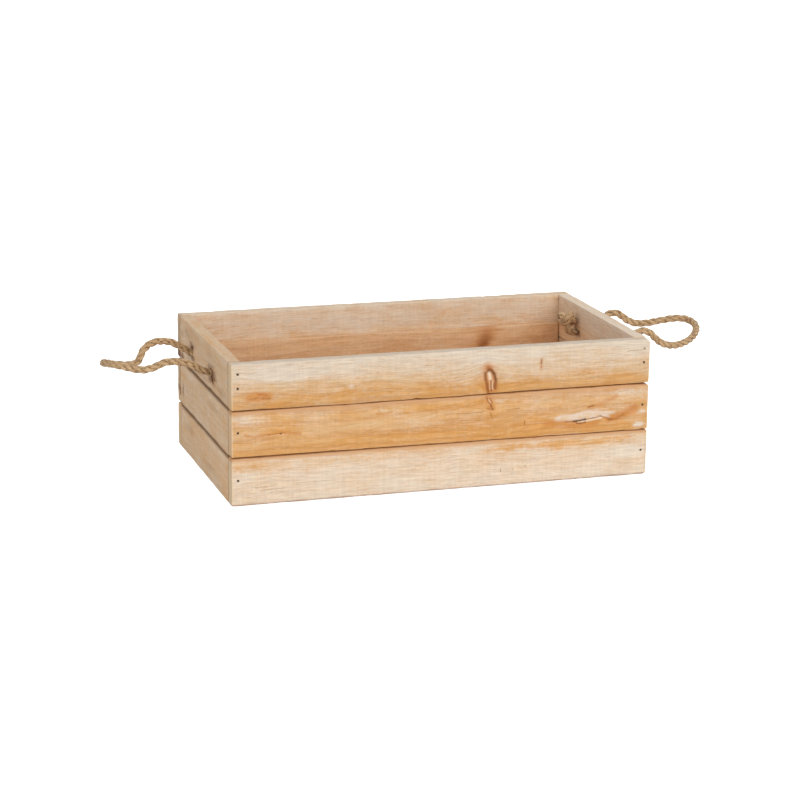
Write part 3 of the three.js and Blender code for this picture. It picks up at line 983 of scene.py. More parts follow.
def wear_board(piece, node, grain, seed, amount, ends):
    """Wears the long edges and the ends unevenly, nicks the edges, and makes the faces a little uneven."""
    low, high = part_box(node)
    middle = (low + high) / 2
    others = [axis for axis in range(3) if axis != grain]
    for vertex in piece.data.vertices:
        place = vertex.co.copy()
        to_face = [min(place[axis] - low[axis], high[axis] - place[axis]) for axis in others]
        to_end = min(place[grain] - low[grain], high[grain] - place[grain])
        near = max(0.0, 1 - sum(to_face) / WEAR_REACH)
        along = place[grain]
        side = Vector((place[others[0]] > middle[others[0]], place[others[1]] > middle[others[1]], seed))
        wave = noise.noise(Vector((55 * along, 0, 0)) + 7.3 * side)
        nick = max(0.0, noise.noise(Vector((130 * along, 9, 0)) + 5.1 * side) - NICK_LEVEL)
        depth = near * (amount * (0.45 + 0.55 * wave) + 3.0 * amount * nick)
        for axis, gap in zip(others, to_face):
            uneven = UNEVEN_DEPTH * (1 + noise.noise(place * 70 + Vector((seed, axis, 0))))
            shift = depth + (uneven if gap < TOUCHING else 0.0)
            vertex.co[axis] += shift if place[axis] < middle[axis] else -shift
        if to_end < END_REACH:
            saw = ends * (0.6 + noise.noise(place * 95 + Vector((seed, 0, 4))) + 0.5 * near)
            vertex.co[grain] += max(0.0, saw) * (1 if place[grain] < middle[grain] else -1)


# A torn hollow on the front: its lower edge is a crack, and its floor slopes up from there to its upper
# edge. Both edges give places along the middle slat and up from its middle, in millimetres.
HOLLOW_CRACK = [
    (108, -5.2), (119.5, -8.9), (129, -8.3), (136.9, -7.5), (145, -6.7), (152.7, -5.6), (163.5, -9.2),
]
HOLLOW_TOP = [
    (108, -5.2), (113, -1.4), (124.1, 0.4), (134.3, 1.3), (148.8, 1.8), (158.6, -2), (163.5, -9.2),
]
HOLLOW_DEPTH = 0.0014
HOLLOW_LEFT, HOLLOW_RIGHT = 0.106, 0.172
HOLLOW_LOW, HOLLOW_HIGH = -0.0135, 0.0055
HOLLOW_SKIN = 0.0004


def carve_hollow(piece, node):
    """Carves the torn hollow into a slat, and marks how torn its wood is for the shader."""
    low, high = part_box(node)
    middle = (low + high) / 2
    crack_along, crack_up = zip(*HOLLOW_CRACK)
    top_along, top_up = zip(*HOLLOW_TOP)

    def near_hollow(face):
        at = face.calc_center_median() - middle
        within = HOLLOW_LEFT < at.x < HOLLOW_RIGHT and HOLLOW_LOW < at.z < HOLLOW_HIGH
        return within and face.normal.y < -0.9

    pick(piece)
    bpy.ops.object.mode_set(mode="EDIT")
    select_faces(piece, near_hollow)
    bpy.ops.mesh.subdivide(number_cuts=4)
    bpy.ops.object.mode_set(mode="OBJECT")
    torn = piece.data.attributes.new("torn", "FLOAT", "POINT")
    for vertex in piece.data.vertices:
        along = (vertex.co.x - middle.x) / MM
        up = (vertex.co.z - middle.z) / MM
        if vertex.co.y > low.y + HOLLOW_SKIN or not crack_along[0] < along < crack_along[-1]:
            continue
        below = np.interp(along, crack_along, crack_up)
        above = np.interp(along, top_along, top_up)
        if below < up < above:
            share = (above - up) / (above - below)
            torn.data[vertex.index].value = min(1.0, 1.9 * share) * min(1.0, (above - below) / 4)
            rough = 1 + 0.35 * noise.noise(Vector((90 * vertex.co.x, 0, 420 * vertex.co.z)))
            vertex.co.y += HOLLOW_DEPTH * share**1.4 * rough * min(1.0, (above - below) / 6)


def shift_edges(piece, node, grain, look):
    """Moves a board's upper and lower edge by the shifts that its look gives at places along its grain."""
    low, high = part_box(node)
    for edge in ("upper_edge", "lower_edge"):
        if edge not in look:
            continue
        places, amounts = zip(*look[edge])
        for vertex in piece.data.vertices:
            to_edge = high.z - vertex.co.z if edge == "upper_edge" else vertex.co.z - low.z
            share = max(0.0, 1 - to_edge / SHIFT_REACH)
            vertex.co.z += MM * share * float(np.interp(vertex.co[grain] / MM, places, amounts))


def round_upper_edge(piece, node, outward, radius):
    """Rounds a slat's upper outer edge: rows of points are cut first, and then drawn in to the round."""
    low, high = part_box(node)
    face = high.y if outward > 0 else low.y
    pick(piece)
    bpy.ops.object.mode_set(mode="EDIT")
    for share in (0.3, 0.6, 1.0):
        for place, normal in (
            ((0, 0, high.z - share * radius), (0, 0, 1)),
            ((0, face - outward * share * radius, 0), (0, 1, 0)),
        ):
            bpy.ops.mesh.select_all(action="SELECT")
            bpy.ops.mesh.bisect(plane_co=place, plane_no=normal)
    bpy.ops.object.mode_set(mode="OBJECT")
    for vertex in piece.data.vertices:
        up = vertex.co.z - (high.z - radius)
        out = outward * (vertex.co.y - face) + radius
        reach = math.hypot(up, out)
        if min(up, out) > 0 and reach > radius:
            vertex.co.z = high.z - radius + up * radius / reach
            vertex.co.y = face + outward * (out * radius / reach - radius)


def apply_boolean(piece, tool):
    pick(piece)
    cut = piece.modifiers.new("cut", "BOOLEAN")
    cut.operation = "DIFFERENCE"
    cut.solver = "EXACT"
    cut.object = tool
    bpy.ops.object.modifier_apply(modifier="cut")
    bpy.data.objects.remove(tool)


def drill(piece, holes):
    """Cuts slightly uneven round holes, each given by its middle, direction, radius and depth."""
    tools = []
    for place, axis, radius, depth in holes:
        bpy.ops.mesh.primitive_cylinder_add(vertices=24, radius=radius, depth=2 * depth)
        tool = bpy.context.object
        for vertex in tool.data.vertices:
            flat = Vector((vertex.co.x, vertex.co.y, 0))
            vertex.co += 0.07 * noise.noise(flat * 500 + place * 300) * flat
        turn = Vector((0, 0, 1)).rotation_difference(axis).to_matrix().to_4x4()
        tool.data.transform(Matrix.Translation(place) @ turn)
        tools.append(tool)
    pick(*tools)
    bpy.ops.object.join()
    apply_boolean(piece, tools[0])


def chip(piece, place, turn, size):
    """Breaks a ragged splinter out of a face: its half length, its half width and its depth."""
    bpy.ops.mesh.primitive_ico_sphere_add(subdivisions=3, radius=1)
    tool = bpy.context.object
    for vertex in tool.data.vertices:
        vertex.co *= 1 + 0.3 * noise.noise(vertex.co * 2.3 + place * 900)
    shape = Matrix.Diagonal((size[2], size[0], size[1], 1))
    tool.data.transform(Matrix.Translation(place) @ Matrix.Rotation(turn, 4, "X") @ shape)
    apply_boolean(piece, tool)


def finish_board(piece, node, turn, slot, look):
    """Gives a board its smooth faces, its own wood and its place in the crate."""
    pick(piece)
    bpy.ops.object.shade_smooth_by_angle(angle=math.radians(38))
    piece.data.materials.clear()
    piece.data.materials.append(wood_material(node, turn, WOODS[slot], look))
    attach(piece, "crate")
    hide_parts(node)


# Nails: their heads, shanks and the recesses that they were driven into. The pale ones have wash on them.
NAIL_HEAD = 0.00105
NAIL_HEAD_THICK = 0.0007
NAIL_SHANK = 0.0007
NAIL_LENGTH = 0.009
NAIL_DISH = 0.00012
NAIL_BEVEL = 0.00014
NAIL_RECESS = 0.0012
NAIL_RECESS_DEPTH = 0.0011
NAIL_RECESS_START = 0.0003
NAIL_TILT = 0.12
PALE_NAILS = ("nail_front_right_3",)


def nail_place(name, axis):
    """The middle of the top of a nail's head."""
    low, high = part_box(name)
    middle = (low + high) / 2
    top = high if sum(axis) > 0 else low
    return Vector([top[k] if axis[k] else middle[k] for k in range(3)])


def nail_recesses(names, axis):
    """The holes for the recesses of nails, as drill takes them."""
    holes = []
    for name in names:
        place = nail_place(name, axis) + axis * NAIL_RECESS_START
        holes.append((place, axis, NAIL_RECESS, NAIL_RECESS_DEPTH))
    return holes


def shape_nail():
    """A nail with a small head that was struck a little hollow, the middle of its head at the origin."""
    bpy.ops.mesh.primitive_cylinder_add(vertices=20, radius=NAIL_HEAD, depth=NAIL_HEAD_THICK)
    nail = bpy.context.object
    bpy.ops.object.mode_set(mode="EDIT")
    bpy.ops.mesh.select_all(action="SELECT")
    bpy.ops.transform.translate(value=(0, 0, -NAIL_HEAD_THICK / 2))
    select_faces(nail, lambda f: f.normal.z < -0.9)
    bpy.ops.mesh.inset(thickness=NAIL_HEAD - NAIL_SHANK)
    bpy.ops.mesh.extrude_region_move(TRANSFORM_OT_translate={"value": (0, 0, -NAIL_LENGTH)})
    select_faces(nail, lambda f: f.normal.z > 0.9)
    bpy.ops.mesh.inset(thickness=0.3 * NAIL_HEAD)
    bpy.ops.mesh.inset(thickness=0.3 * NAIL_HEAD)
    bpy.ops.transform.translate(value=(0, 0, -NAIL_DISH))
    select_edges(nail, lambda e: e.calc_face_angle(0.0) > math.radians(60))
    bpy.ops.mesh.bevel(offset=NAIL_BEVEL, segments=2, affect="EDGES")
    bpy.ops.object.mode_set(mode="OBJECT")
    bpy.ops.object.shade_smooth_by_angle(angle=math.radians(50))
    return nail


def add_nails():
    first = shape_nail()
    steel = nail_material("nail steel", tone(92, 80, 68), tone(84, 54, 34))
    pale = nail_material("washed nail steel", tone(176, 160, 140), tone(140, 104, 74))
    draw = random.Random(3)
    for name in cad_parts:
        if "nail" not in name:
            continue
        axis = Vector((0, 0, 1))
        if not name.startswith("floor"):
            axis = Vector((0, -1 if "front" in name else 1, 0))
        nail = first.copy()
        nail.data = first.data.copy()
        nail.name = f"{name}_steel"
        scene.collection.objects.link(nail)
        spin = Matrix.Rotation(draw.uniform(0, 6.28), 4, "Z")
        tilt = Matrix.Rotation(draw.uniform(-NAIL_TILT, NAIL_TILT), 4, "X")
        aim = Vector((0, 0, 1)).rotation_difference(axis).to_matrix().to_4x4()
        nail.data.transform(Matrix.Translation(nail_place(name, axis)) @ aim @ tilt @ spin)
        nail.data.materials.append(pale if name in PALE_NAILS else steel)
        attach(nail, "crate")
        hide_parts(name)
    bpy.data.objects.remove(first)


# The rows of the walls, each with the numbers of its nails
ROW_NAILS = {"bottom": (1,), "middle": (2,), "top": (3, 4)}

# Dark joints where an end board meets the slats
END_JOINTS = [("knot", 2.4, 0.4, [(side * 97, 21.3), (side * 97, -21.3)]) for side in (-1, 1)]

# Looks of the boards, in millimetres from a board's middle. Knots give their place along and up the board,
# half length, half height, lean and how pale their core is, and bends turn the grain like knots that don't
# show. Patches give place, half length, half height, lean and strength. Lines give tone, half width,
# strength and the places that they run through. Edges give places along the board and how far they rise
# there. Chips give the face, the place across the crate and above the ground, half length, half width, depth
# and turn in degrees. Corners are rounded by what is given for the lower and upper ones at either end.
# Rubbed gives how much of an upper edge takes the rubbed tone, which is partly a painted highlight.
LOOKS = {
    "front_top_slat": {
        "seed": 11, "gold": 0.42, "gold_tilt": -0.45, "wash": 0.42, "wash_tilt": 0.55, "late": 0.25,
        "rings": 3.0, "pith_up": -30, "pith_in": 45, "shade": 0.945, "round": 1.4,
        "bends": [(41.4, -8.5, 3.4, 9.5, -0.16), (-169.6, -9.4, 3.0, 2.0, 0)],
        "lower_edge": [(-200, 0), (-99, -0.4), (20, -0.2), (44, 0.5), (200, 0.7)],
        "dark_patches": [
            (-173, -7.2, 3.4, 1.7, 0.3, 0.5), (-168.4, -8.6, 3.6, 1.5, -0.3, 0.5),
            (-171, -11.2, 3.6, 1.6, 0.2, 0.55), (-166.6, -11.6, 3.2, 1.5, 0, 0.5),
            (-177, -9.4, 3, 1.4, 0, 0.35),
        ],
        "gold_patches": [
            (-174.6, -9.4, 14, 5, 0, 0.7), (-92.9, -8.1, 13, 5, 0, 0.5), (39.5, -8.5, 16, 12, 0, 0.35),
            (18.5, -14.5, 60, 6, 0, 0.3), (-120.8, -13, 60, 5, 0, 0.25),
        ],
        "wash_patches": [
            (-150.7, 9.1, 45, 10, 0, 0.5), (34.5, 12.5, 16, 6, 0, 0.35), (-89, -5.1, 4, 2.5, 0, 0.4),
            (89.2, 14.3, 8, 4, 0, 0.4),
        ],
        "lines": [
            ("orange", 4.6, 0.55, [(-184, -10.8), (-166, -9.8)]),
            ("orange", 2.4, 0.5, [(-175, -6.6), (-170, -7.4)]),
            ("stain", 0.6, 0.35, [(-183, -11), (-174.5, -10.2)]),
            ("orange", 8.0, 0.6, [(41, 0.5), (43, -19.5)]),
            ("orange", 5.5, 0.5, [(40.2, 3.5), (41, -0.5)]),
            ("stain", 3.0, 0.75, [(40.6, 2.6), (42.4, 0.2)]),
            ("crack", 1.5, 0.4, [(38.6, -1), (41.2, 1.6), (44.4, 0), (46.6, -3.6)]),
            ("stain", 2.2, 0.85, [(43.4, 1.6), (46, -2.6), (47.8, -8.6), (47.6, -15.6)]),
            ("crack", 0.8, 0.45, [(45, -0.8), (46.8, -4), (47.8, -8.6)]),
            ("stain", 1.9, 0.85, [(37.2, -1.8), (37.7, -5.8), (39.6, -11.5), (40.8, -19.2)]),
            ("white", 2.1, 0.95, [(41.2, -2), (42.3, -6.5)]),
            ("white", 0.9, 0.45, [(42.2, -9.5), (43, -16.5)]),
            ("white", 0.9, 0.5, [(44.8, -8.6), (45.3, -16.6)]),
            ("stain", 0.9, 0.8, [(43.2, -9), (44, -18.5)]),
            ("orange", 2.6, 0.4, [(92.3, 8.3), (91.8, -0.7)]),
            ("stain", 1.2, 0.65, [(92.4, 7.9), (92.2, 4.3)]),
            ("stain", 0.8, 0.4, [(92, 2.4), (91.8, 0.4)]),
            ("stain", 0.4, 0.6, [(176.8, 10.6), (184.8, 11.4), (192.7, 11)]),
        ],
        "corners": {**PLAIN_LOOK["corners"], (1, 1): 4.2},
    },
    "front_middle_slat": {
        "seed": 23, "gold": 0.72, "gold_tilt": -0.18, "wash": 0.08, "wash_tilt": 0.12, "late": 0.3,
        "rings": 3.4, "pith_up": 4, "pith_in": 40, "torn": True, "rubbed": 0.7,
        "bare_patches": [(-1.4, 14.7, 75, 6, 0, 0.25)],
        "bends": [(-58.1, 13.9, 4.5, 2.2, 0), (42.4, 12.5, 2.6, 8, -0.3), (136, -3.8, 24, 4.5, 0.1)],
        "upper_edge": [
            (-200, 0.8), (-100, 0.85), (0, 1.0), (78, 1.3), (150, 1.5), (180, 1.3), (200, 0.6),
        ],
        "lower_edge": [(-200, 1.2), (200, -0.3)],
        "gold_patches": [
            (-158.6, 1.3, 22, 2.4, 0.2, 0.4), (-6.3, 14.7, 65, 6, 0, 0.5), (169.8, -3.9, 18, 4, 0.4, 0.5),
            (88.2, -12.6, 100, 8, 0, 0.45), (44.4, 2.5, 7, 5, 0, 0.5),
        ],
        "wash_patches": [
            (-186.5, 14.4, 22, 9, 0, 0.5), (179.8, 15.1, 24, 6, 0, 0.5), (189.8, -17, 7, 3.5, 0, 1.0),
            (193.7, -4, 4, 3, 0, 0.5), (52.4, 15.5, 8, 3, 0, 0.4), (114, -4.6, 10, 3.6, 0.4, 0.9),
            (160, -3.6, 7, 3, -0.4, 0.7),
        ],
        "lines": [
            # A darker band along the rounded upper edge: bare wood, and painted shade where the edge turns
            # from the light
            ("late", 3.2, 0.5, [(-200, 20.8), (200, 21.4)]),
            ("orange", 1.7, 0.5, [(-187.5, 0.4), (-178.5, -1.7), (-166.6, -0.7),
                                  (-154.7, 0.7), (-144.7, -0.3), (-136.7, -1.8)]),
            ("stain", 0.45, 0.5, [(-166.6, -1.1), (-150.7, 0.4)]),
            ("crack", 0.8, 0.9, [(-155, -0.3), (-154.2, -0.3)]),
            ("orange", 4.5, 0.5, [(41.4, 19.5), (44, 8.5)]),
            ("stain", 1.0, 0.6, [(39.5, 20.1), (41.4, 15.5), (44.2, 11.5), (45.2, 7.5)]),
            ("stain", 1.0, 0.55, [(43.4, 19), (45, 15), (43.6, 11)]),
            ("white", 1.1, 0.35, [(42, 17.5), (43.2, 15.5)]),
            ("stain", 0.9, 0.5, [(40.4, 9.1), (45.4, 8)]), ("stain", 0.9, 0.45, [(43.4, 4), (44.9, 1)]),
            ("stain", 0.5, 0.5, [(10.6, 6.2), (24.5, 5.6), (37.5, 6.6)]),
            ("stain", 0.6, 0.5, [(58.4, 6.5), (71.3, 7.4)]),
            ("stain", 0.7, 0.6, [(76.8, -4.6), (77.1, -8.6)]),
            ("orange", 2.6, 0.4, [(167.9, 13.1), (161.9, 9.5), (151.9, 6.4), (141, 4.4)]),
            ("stain", 0.8, 0.85, [(140.3, 4.1), (145, 5.1)]),
            ("orange", 4.0, 0.55, [(98.2, -10.1), (111.1, -10.5), (123.1, -12.1), (147.9, -11.3)]),
            ("orange", 4.4, 0.75, [(161.9, -8.9), (169.8, -7.3), (178.8, -3.3), (186.8, 0)]),
            ("stain", 1.4, 0.35, [(160.9, -9.7), (167.9, -8.9), (175.8, -5.3)]),
            ("orange", 1.2, 0.5, [(-65.1, 10.9), (-58.1, 10.3), (-51.1, 11.9)]),
            ("white", 1.4, 0.5, [(-61.1, 14.4), (-56.1, 13.9)]),
            ("white", 1.0, 0.5, [(153.9, -3.8), (160.9, -6.5)]),
            ("white", 1.1, 0.9, [(134, -9.3), (145.5, -8.4), (153, -7.4)]),
            ("stain", 0.7, 0.6, [(117.5, -8.6), (128, -8.9)]),
            ("crack", 0.9, 0.8, [(126, -8.9), (131, -8.5), (137.5, -7.7)]),
            ("crack", 0.45, 0.6, [(137, -7.7), (145, -7), (152.7, -5.9)]),
            ("stain", 0.6, 0.7, [(152.2, -5.9), (158, -7.5), (164.4, -9.6)]),
            ("stain", 0.9, 0.85, [(128.5, -10.6), (133, -11), (137.5, -10.2)]),
            ("white", 0.6, 0.7, [(130, -9.8), (135.5, -9.3)]),
        ],
        "corners": {**PLAIN_LOOK["corners"], (1, 1): 2.2},
    },
    "front_bottom_slat": {
        "seed": 37, "gold": 0.3, "gold_tilt": 0.25, "wash": 0.72, "wash_tilt": -0.16, "late": 0.2,
        "rings": 2.6, "pith_up": -40, "pith_in": 50, "dash": 0.22, "rubbed": 0.7, "shade": 1.03,
        "upper_edge": [(-200, 1.7), (0, 1.5), (120, 1.3), (200, 0.7)],
        "gold_patches": [
            (113.1, 13.4, 88, 6.5, 0, 0.52), (-185.5, 13.5, 30, 6, 0, 0.25), (-1.4, 16.8, 60, 4, 0, 0.15),
            (20, -17, 200, 6, 0, 0.3),
        ],
        "bare_patches": [(113.1, 14.4, 90, 6, 0, 0.45), (-185.5, 14.5, 30, 6, 0, 0.3)],
        "wash_patches": [(180, 2, 20, 8, 0, 0.5)],
        "lines": [
            # A darker band along the rounded upper edge: bare wood, and painted shade where the edge turns
            # from the light
            ("late", 2.8, 0.5, [(-200, 22.2), (200, 21.6)]),
            # Painted shade: a dark line along the bottom edge, where the slat meets the floor
            ("stain", 1.5, 0.75, [(-200, -21), (200, -21)]),
            ("stain", 1.8, 0.18, [(200, 18), (199.5, 4), (200, -15)]),
            ("stain", 0.35, 0.4, [(-174.6, -7.6), (-150.7, -7.3)]),
            ("stain", 0.35, 0.4, [(-166.6, -10.6), (-152.7, -10.5)]),
            ("stain", 0.3, 0.35, [(-140.7, -3.7), (-110.9, -3.4)]),
            ("stain", 0.35, 0.4, [(-181.5, -4.5), (-168.6, -4.8)]),
            ("stain", 0.7, 0.45, [(54.4, -5.4), (54.6, -7.9)]),
            ("stain", 0.5, 0.4, [(66.3, -5.9), (66.3, -7.4)]),
            ("stain", 0.6, 0.45, [(78.8, -3.5), (79, -5.1)]),
        ],
        "corners": {**PLAIN_LOOK["corners"], (1, -1): 3.0},
    },
    "back_top_slat": {
        "seed": 41, "gold": 0.34, "shade": 1.05, "wash": 0.56, "wash_tilt": 0.1, "late": 0.25,
        "rings": 2.8, "pith_up": 30, "pith_in": -45, "figure": 0.7, "round": 1.4,
        "knots": [(-70, -12.9, 5, 3, 0, 0.1)],
        "gold_patches": [(140, -4.9, 50, 8, 0, 0.35)],
        "wash_patches": [(-40, 9.1, 90, 10, 0, 0.15)],
        "dark_patches": [(-199, -15.9, 3, 6, 0, 0.9), (-200, 5.1, 3, 26, 0, 0.42)],
    },
    "back_middle_slat": {
        "seed": 43, "gold": 0.6, "wash": 0.2, "late": 0.35, "rings": 3.3, "pith_up": -15, "pith_in": -55,
        "rubbed": 0.7,
        "knots": [(-130, 3, 6, 4.5, 0, 0.1), (55, -6, 4, 3, 0, 0.3)],
        "dark_patches": [(-199, -7, 3, 9, 0, 0.85), (-200, 4, 3, 26, 0, 0.35)],
    },
    "back_bottom_slat": {
        "seed": 47, "gold": 0.4, "wash": 0.38, "late": 0.3, "rings": 2.7, "pith_up": 25, "pith_in": -50,
        "rubbed": 0.7,
        "knots": [(20, 3.9, 6, 4, 0, 0.2)],
    },
    "left_end_top_board": {
        "seed": 53, "gold": 0.38, "wash": 0.36, "late": 0.14, "rings": 2.6, "pith_up": 25, "pith_in": 50,
        "figure": 0.55, "dash": 0.15,
        "dark_patches": [
            (-35, -5.4, 20, 11, 0, 0.9), (46, 2.1, 13, 5, 0, 0.75), (44, -9, 13, 6, 0, 0.65),
            (87, -17.5, 9, 5, 0, 0.75), (70, 10, 22, 5, 0, 0.2), (20, -15, 40, 4, 0, 0.2),
            (-70, -14, 24, 5, 0, 0.2), (58, -6, 12, 9, 0, 0.22),
        ],
        "lines": [
            ("white", 2.4, 0.55, [(80.5, 1), (80, -8)]), ("stain", 2.6, 0.5, [(87.5, -10), (86.5, -15)]),
            ("stain", 2.2, 0.45, [(88.5, 7), (88, 3)]), ("knot", 1.9, 0.42, [(-97, -21), (97, -21)]),
            *END_JOINTS,
        ],
        "chips": [("outer", -35, 101.2, 7.0, 2.6, 3.4, 47), ("outer", 45.4, 109.8, 3.4, 2.6, 2.8, 80)],
    },
    "left_end_middle_board": {
        "seed": 59, "gold": 0.36, "shade": 1.05, "wash": 0.38, "late": 0.14, "rings": 3.1, "pith_up": -35,
        "pith_in": 45, "figure": 0.55, "dash": 0.15, "rubbed": 0.4,
        "upper_edge": [(-97, -0.8), (97, -0.8)],
        "dark_patches": [(69, -3, 4, 2.6, 0, 0.3), (86, -6, 6, 9, 0, 0.55), (-40, 8, 34, 5, 0, 0.14)],
        "lines": [
            ("knot", 1.6, 0.42, [(-97, 20.3), (97, 20.3)]), ("knot", 1.9, 0.42, [(-97, -21), (97, -21)]),
            *END_JOINTS,
        ],
    },
    "left_end_bottom_board": {
        "seed": 61, "gold": 0.42, "shade": 1.1, "wash": 0.36, "late": 0.14, "rings": 2.9, "pith_up": 20,
        "pith_in": 60, "figure": 0.55, "dash": 0.15, "rubbed": 0.4,
        "upper_edge": [(-97, -0.8), (97, -0.8)],
        "lines": [("knot", 1.6, 0.42, [(-97, 20.3), (97, 20.3)]), *END_JOINTS],
        "dark_patches": [(60, 6, 24, 5, 0, 0.16), (-20, -8, 30, 6, 0, 0.14)],
    },
    "right_end_top_board": {
        "seed": 67, "gold": 0.2, "shade": 1.12, "wash": 0.6, "wash_tilt": 0.3, "late": 0.2, "rings": 2.8,
        "pith_up": -20, "pith_in": -40, "figure": 0.7,
        "dark_patches": [(41, -6.3, 6, 5, 0, 0.7), (47, -9.3, 5, 4, 0, 0.4)],
        "lower_edge": [(45, 0), (70, -0.6), (97, -0.6)],
        "chips": [
            ("inner", 41, 103.8, 4.6, 1.6, 2.6, 170), ("inner", 42.5, 99.8, 2.6, 1.3, 2.0, 60),
            ("inner", 49, 106.8, 3.0, 1.4, 2.0, 50),
        ],
    },
    "right_end_middle_board": {
        "seed": 71, "gold": 0.5, "wash": 0.28, "late": 0.3, "rings": 3.2, "pith_up": 30, "pith_in": -50,
        "knots": [(-40, 5, 6, 4, 0, 0.2)],
        "upper_edge": [(45, 0), (70, 0.7), (97, 0.7)],
    },
    "right_end_bottom_board": {
        "seed": 73, "gold": 0.4, "wash": 0.36, "late": 0.28, "rings": 2.7, "pith_up": -25, "pith_in": -55,
    },
    "back_lining": {
        "seed": 79, "gold": 0.48, "shade": 1.05, "wash": 0.3, "late": 0.3, "rings": 2.4, "pith_up": 25,
        "pith_in": 40, "figure": 0.7,
        "knots": [(-60, -10, 7, 5, 0, 0.1)],
        "bends": [(109, 24, 5, 4, 0)],
        "gold_patches": [(110, 34, 14, 14, 0, 0.6), (160, 30, 40, 14, 0, 0.4)],
        "lines": [
            ("orange", 11.0, 0.55, [(106, 23), (112, 36)]), ("stain", 7.0, 0.45, [(106, 23), (110, 31)]),
            ("stain", 4.0, 0.6, [(105, 22.5), (109, 25)]),
        ],
    },
    "front_lining": {
        "seed": 83, "gold": 0.5, "wash": 0.15, "rings": 3.6, "pith_up": -30, "pith_in": -40,
        "knots": [(-90, 12, 7, 5, 0, 0.1), (130, -20, 6, 4, 0, 0)],
    },
    "floor_slat_1": {"seed": 89, "gold": 0.5, "wash": 0.15, "knots": [(60, 6, 6, 4, 0, 0)]},
    "floor_slat_2": {"seed": 97, "gold": 0.6, "wash": 0.1, "rings": 3.6, "pith_up": 20},
    "floor_slat_3": {
        "seed": 101, "gold": 0.45, "wash": 0.2, "rings": 2.9,
        "knots": [(-110, -5, 7, 5, 0, 0.1)],
    },
    "floor_slat_4": {"seed": 103, "gold": 0.55, "wash": 0.15, "pith_up": -15},
    "left_floor_cleat": {"seed": 107, "gold": 0.5, "wash": 0.1},
    "right_floor_cleat": {"seed": 109, "gold": 0.5, "wash": 0.1},
}


def start_board(node, grain, face, plain, wear, ends=0.0):
    """A board that is sawn and worn as its look says, and that look, with what is plain about it."""
    look = {**plain, **LOOKS[node]}
    piece = saw_board(node, grain, face, look["corners"])
    wear_board(piece, node, grain, look["seed"], wear, ends)
    return piece, look


def add_slat(side, row):
    node = f"{side}_{row}_slat"
    out = Vector((0, -1 if side == "front" else 1, 0))
    piece, look = start_board(node, X, Z, PLAIN_LOOK, SLAT_WEAR, SLAT_END_WEAR)
    round_upper_edge(piece, node, out.y, look["round"] * MM)
    if look["torn"]:
        carve_hollow(piece, node)
    shift_edges(piece, node, X, look)
    names = [f"nail_{side}_{end}_{count}" for end in ("left", "right") for count in ROW_NAILS[row]]
    drill(piece, nail_recesses(names, out))
    finish_board(piece, node, LONG_TURN, "washed_pine", look)


def add_end_board(end, row):
    node = f"{end}_end_{row}_board"
    low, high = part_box(node)
    piece, look = start_board(node, Y, Z, PLAIN_LOOK, END_BOARD_WEAR)
    shift_edges(piece, node, Y, look)
    if row == "top":
        middle = (low.x + high.x) / 2
        axis = Vector((1, 0, 0))
        up = HANDLES[end]["hole_height"]
        places = [Vector((middle, across, up)) for across in HOLE_ACROSS.values()]
        drill(piece, [(place, axis, HOLE_RADIUS, HOLE_DEPTH) for place in places])
    for face, across, up, length, width, depth, turn in look["chips"]:
        at = high.x if (face == "outer") == (end == "right") else low.x
        size = (length * MM, width * MM, depth * MM)
        chip(piece, Vector((at, across * MM, up * MM)), math.radians(turn), size)
    finish_board(piece, node, SHORT_TURN, "washed_pine", look)


def add_inner_board(node, grain, face, turn, names=()):
    piece, look = start_board(node, grain, face, INNER_LOOK, INNER_WEAR)
    if names:
        drill(piece, nail_recesses(names, Vector((0, 0, 1))))
    finish_board(piece, node, turn, "bare_pine", look)


def add_boards():
    for row in ROW_NAILS:
        add_slat("front", row)
        add_slat("back", row)
        add_end_board("left", row)
        add_end_board("right", row)
    for side in ("front", "back"):
        add_inner_board(f"{side}_lining", X, Z, LONG_TURN)
    for count in (1, 2, 3, 4):
        names = [f"floor_nail_{end}_{count}" for end in ("left", "right")]
        add_inner_board(f"floor_slat_{count}", X, Y, FLOOR_TURN, names)
    for end in ("left", "right"):
        add_inner_board(f"{end}_floor_cleat", Y, Z, SHORT_TURN)


def rope_material():
    """Jute: pale and brown fibres along the yarns, with painted shade between the yarns and strands, and a
    dull soft surface.
    """
    material, tree = start_material("jute")
    strand = tree.node("ShaderNodeAttribute", attribute_name="strand").outputs["Vector"]
    shade = tree.node("ShaderNodeAttribute", attribute_name="shade").outputs["Fac"]
    fibre = tree.noise(strand, 170, 2400, 3.0, 0.65)
    slow = tree.noise(strand, 45, 420)
    blotch = tree.noise(strand, 240, 620, 3.0, 0.6)
    colour = tree.mix(tree.ease(fibre, 0.32, 0.68), tone(172, 138, 98), tone(226, 194, 154))
    colour = tree.mix(tree.ease(slow, 0.38, 0.64, 0.0, 0.6), colour, tone(184, 150, 108))
    colour = tree.mix(tree.ease(blotch, 0.52, 0.66, 0.0, 0.75), colour, tone(138, 102, 64))
    # Painted shade in the grooves between strands and yarns, broken up by the blotches
    groove_shade = tree.times(tree.fade(shade, 0.05, 0.8), tree.ease(blotch, 0.4, 0.6, 0.1, 0.7))
    colour = tree.mix(groove_shade, colour, tone(100, 70, 42))
    inputs = {"Base Color": colour, "Roughness": 0.9, "Specular IOR Level": 0.2, "Sheen Weight": 0.2}
    end_material(tree, inputs, bump=(0.5, 0.0003, fibre))
    return material


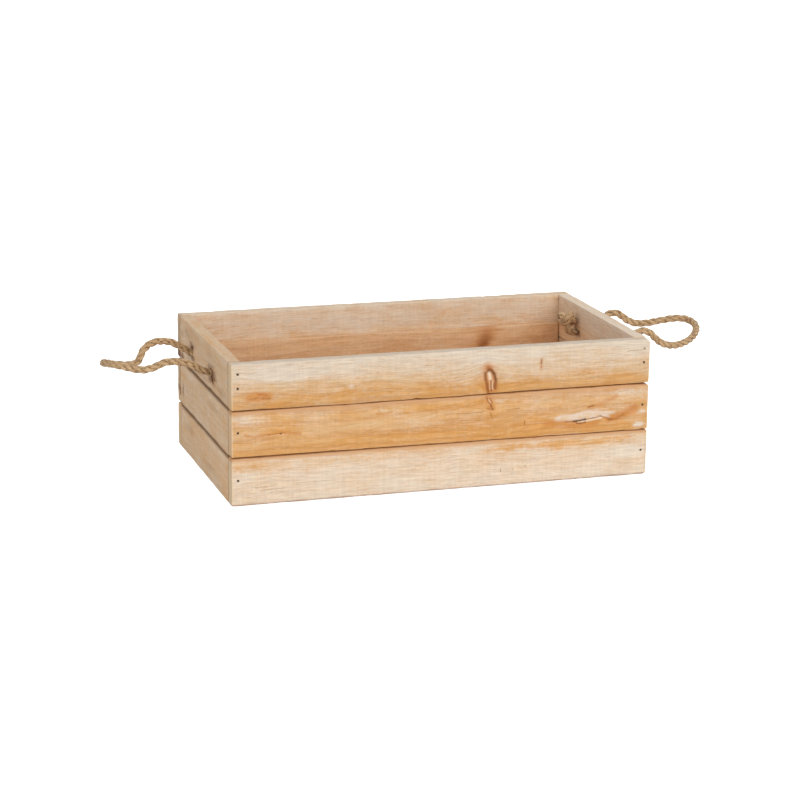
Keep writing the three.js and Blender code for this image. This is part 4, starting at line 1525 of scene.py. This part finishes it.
def nail_material(name, bare, rusty):
    """Dull steel with a little rust and hammer marks."""
    material, tree = start_material(name)
    place = tree.node("ShaderNodeTexCoord").outputs["Object"]
    rust = tree.noise(place, 900, 900, 3.0, 0.6)
    colour = tree.mix(tree.ease(rust, 0.4, 0.65), bare, rusty)
    metallic = tree.ease(rust, 0.4, 0.65, 0.7, 0.1)
    rough = tree.ease(rust, 0.3, 0.7, 0.45, 0.8)
    inputs = {"Base Color": colour, "Metallic": metallic, "Roughness": rough}
    end_material(tree, inputs, bump=(0.4, 0.0002, rust))
    return material


def add_stage():
    """A white floor and room, which light the crate less than they show, with soft lights."""
    bpy.ops.mesh.primitive_plane_add(size=30, location=(0, 0, -0.0002))
    floor = bpy.context.object
    floor.name = "floor"
    material, tree = start_material("white floor")
    seen = tree.node("ShaderNodeLightPath").outputs["Is Camera Ray"]
    end_material(tree, {
        "Base Color": (0.85, 0.85, 0.85, 1), "Roughness": 0.9, "Specular IOR Level": 0.0,
        "Emission Color": (1, 1, 1, 1), "Emission Strength": tree.times(seen, 0.8),
    })
    floor.data.materials.append(material)
    world = bpy.data.worlds.new("white room")
    scene.world = world
    world.use_nodes = True
    tree = Tree(world.node_tree)
    seen = tree.node("ShaderNodeLightPath").outputs["Is Camera Ray"]
    background = world.node_tree.nodes["Background"]
    background.inputs["Color"].default_value = (1, 1, 1, 1)
    world.node_tree.links.new(tree.ease(seen, 0.0, 1.0, 0.52, 1.0), background.inputs["Strength"])
    # Each light has a name, a place, a size and a power
    lights = (
        ("key light", (0.9, -2.7, 2.0), 2.2, 42),
        ("low light", (0.3, -3.2, 0.6), 1.6, 22),
        ("fill light", (-2.6, -1.2, 1.8), 2.0, 11),
        ("back light", (-0.6, 2.6, 2.4), 2.2, 17),
    )
    for name, place, size, power in lights:
        bpy.ops.object.light_add(type="AREA", location=place)
        light = bpy.context.object
        light.name = name
        light.data.size = size
        light.data.energy = power
        light.rotation_euler = (Vector((0, 0, 0.06)) - Vector(place)).to_track_quat("-Z", "Y").to_euler()
    scene.view_settings.view_transform = "Standard"


# The camera, then the ropes, the boards, the nails and the stage
add_camera()
jute = rope_material()
knot = overhand_knot()
for count, handle in enumerate(HANDLES):
    rope = add_rope(handle, knot, 5 + count)
    rope.data.materials.append(jute)
add_boards()
add_nails()
add_stage()
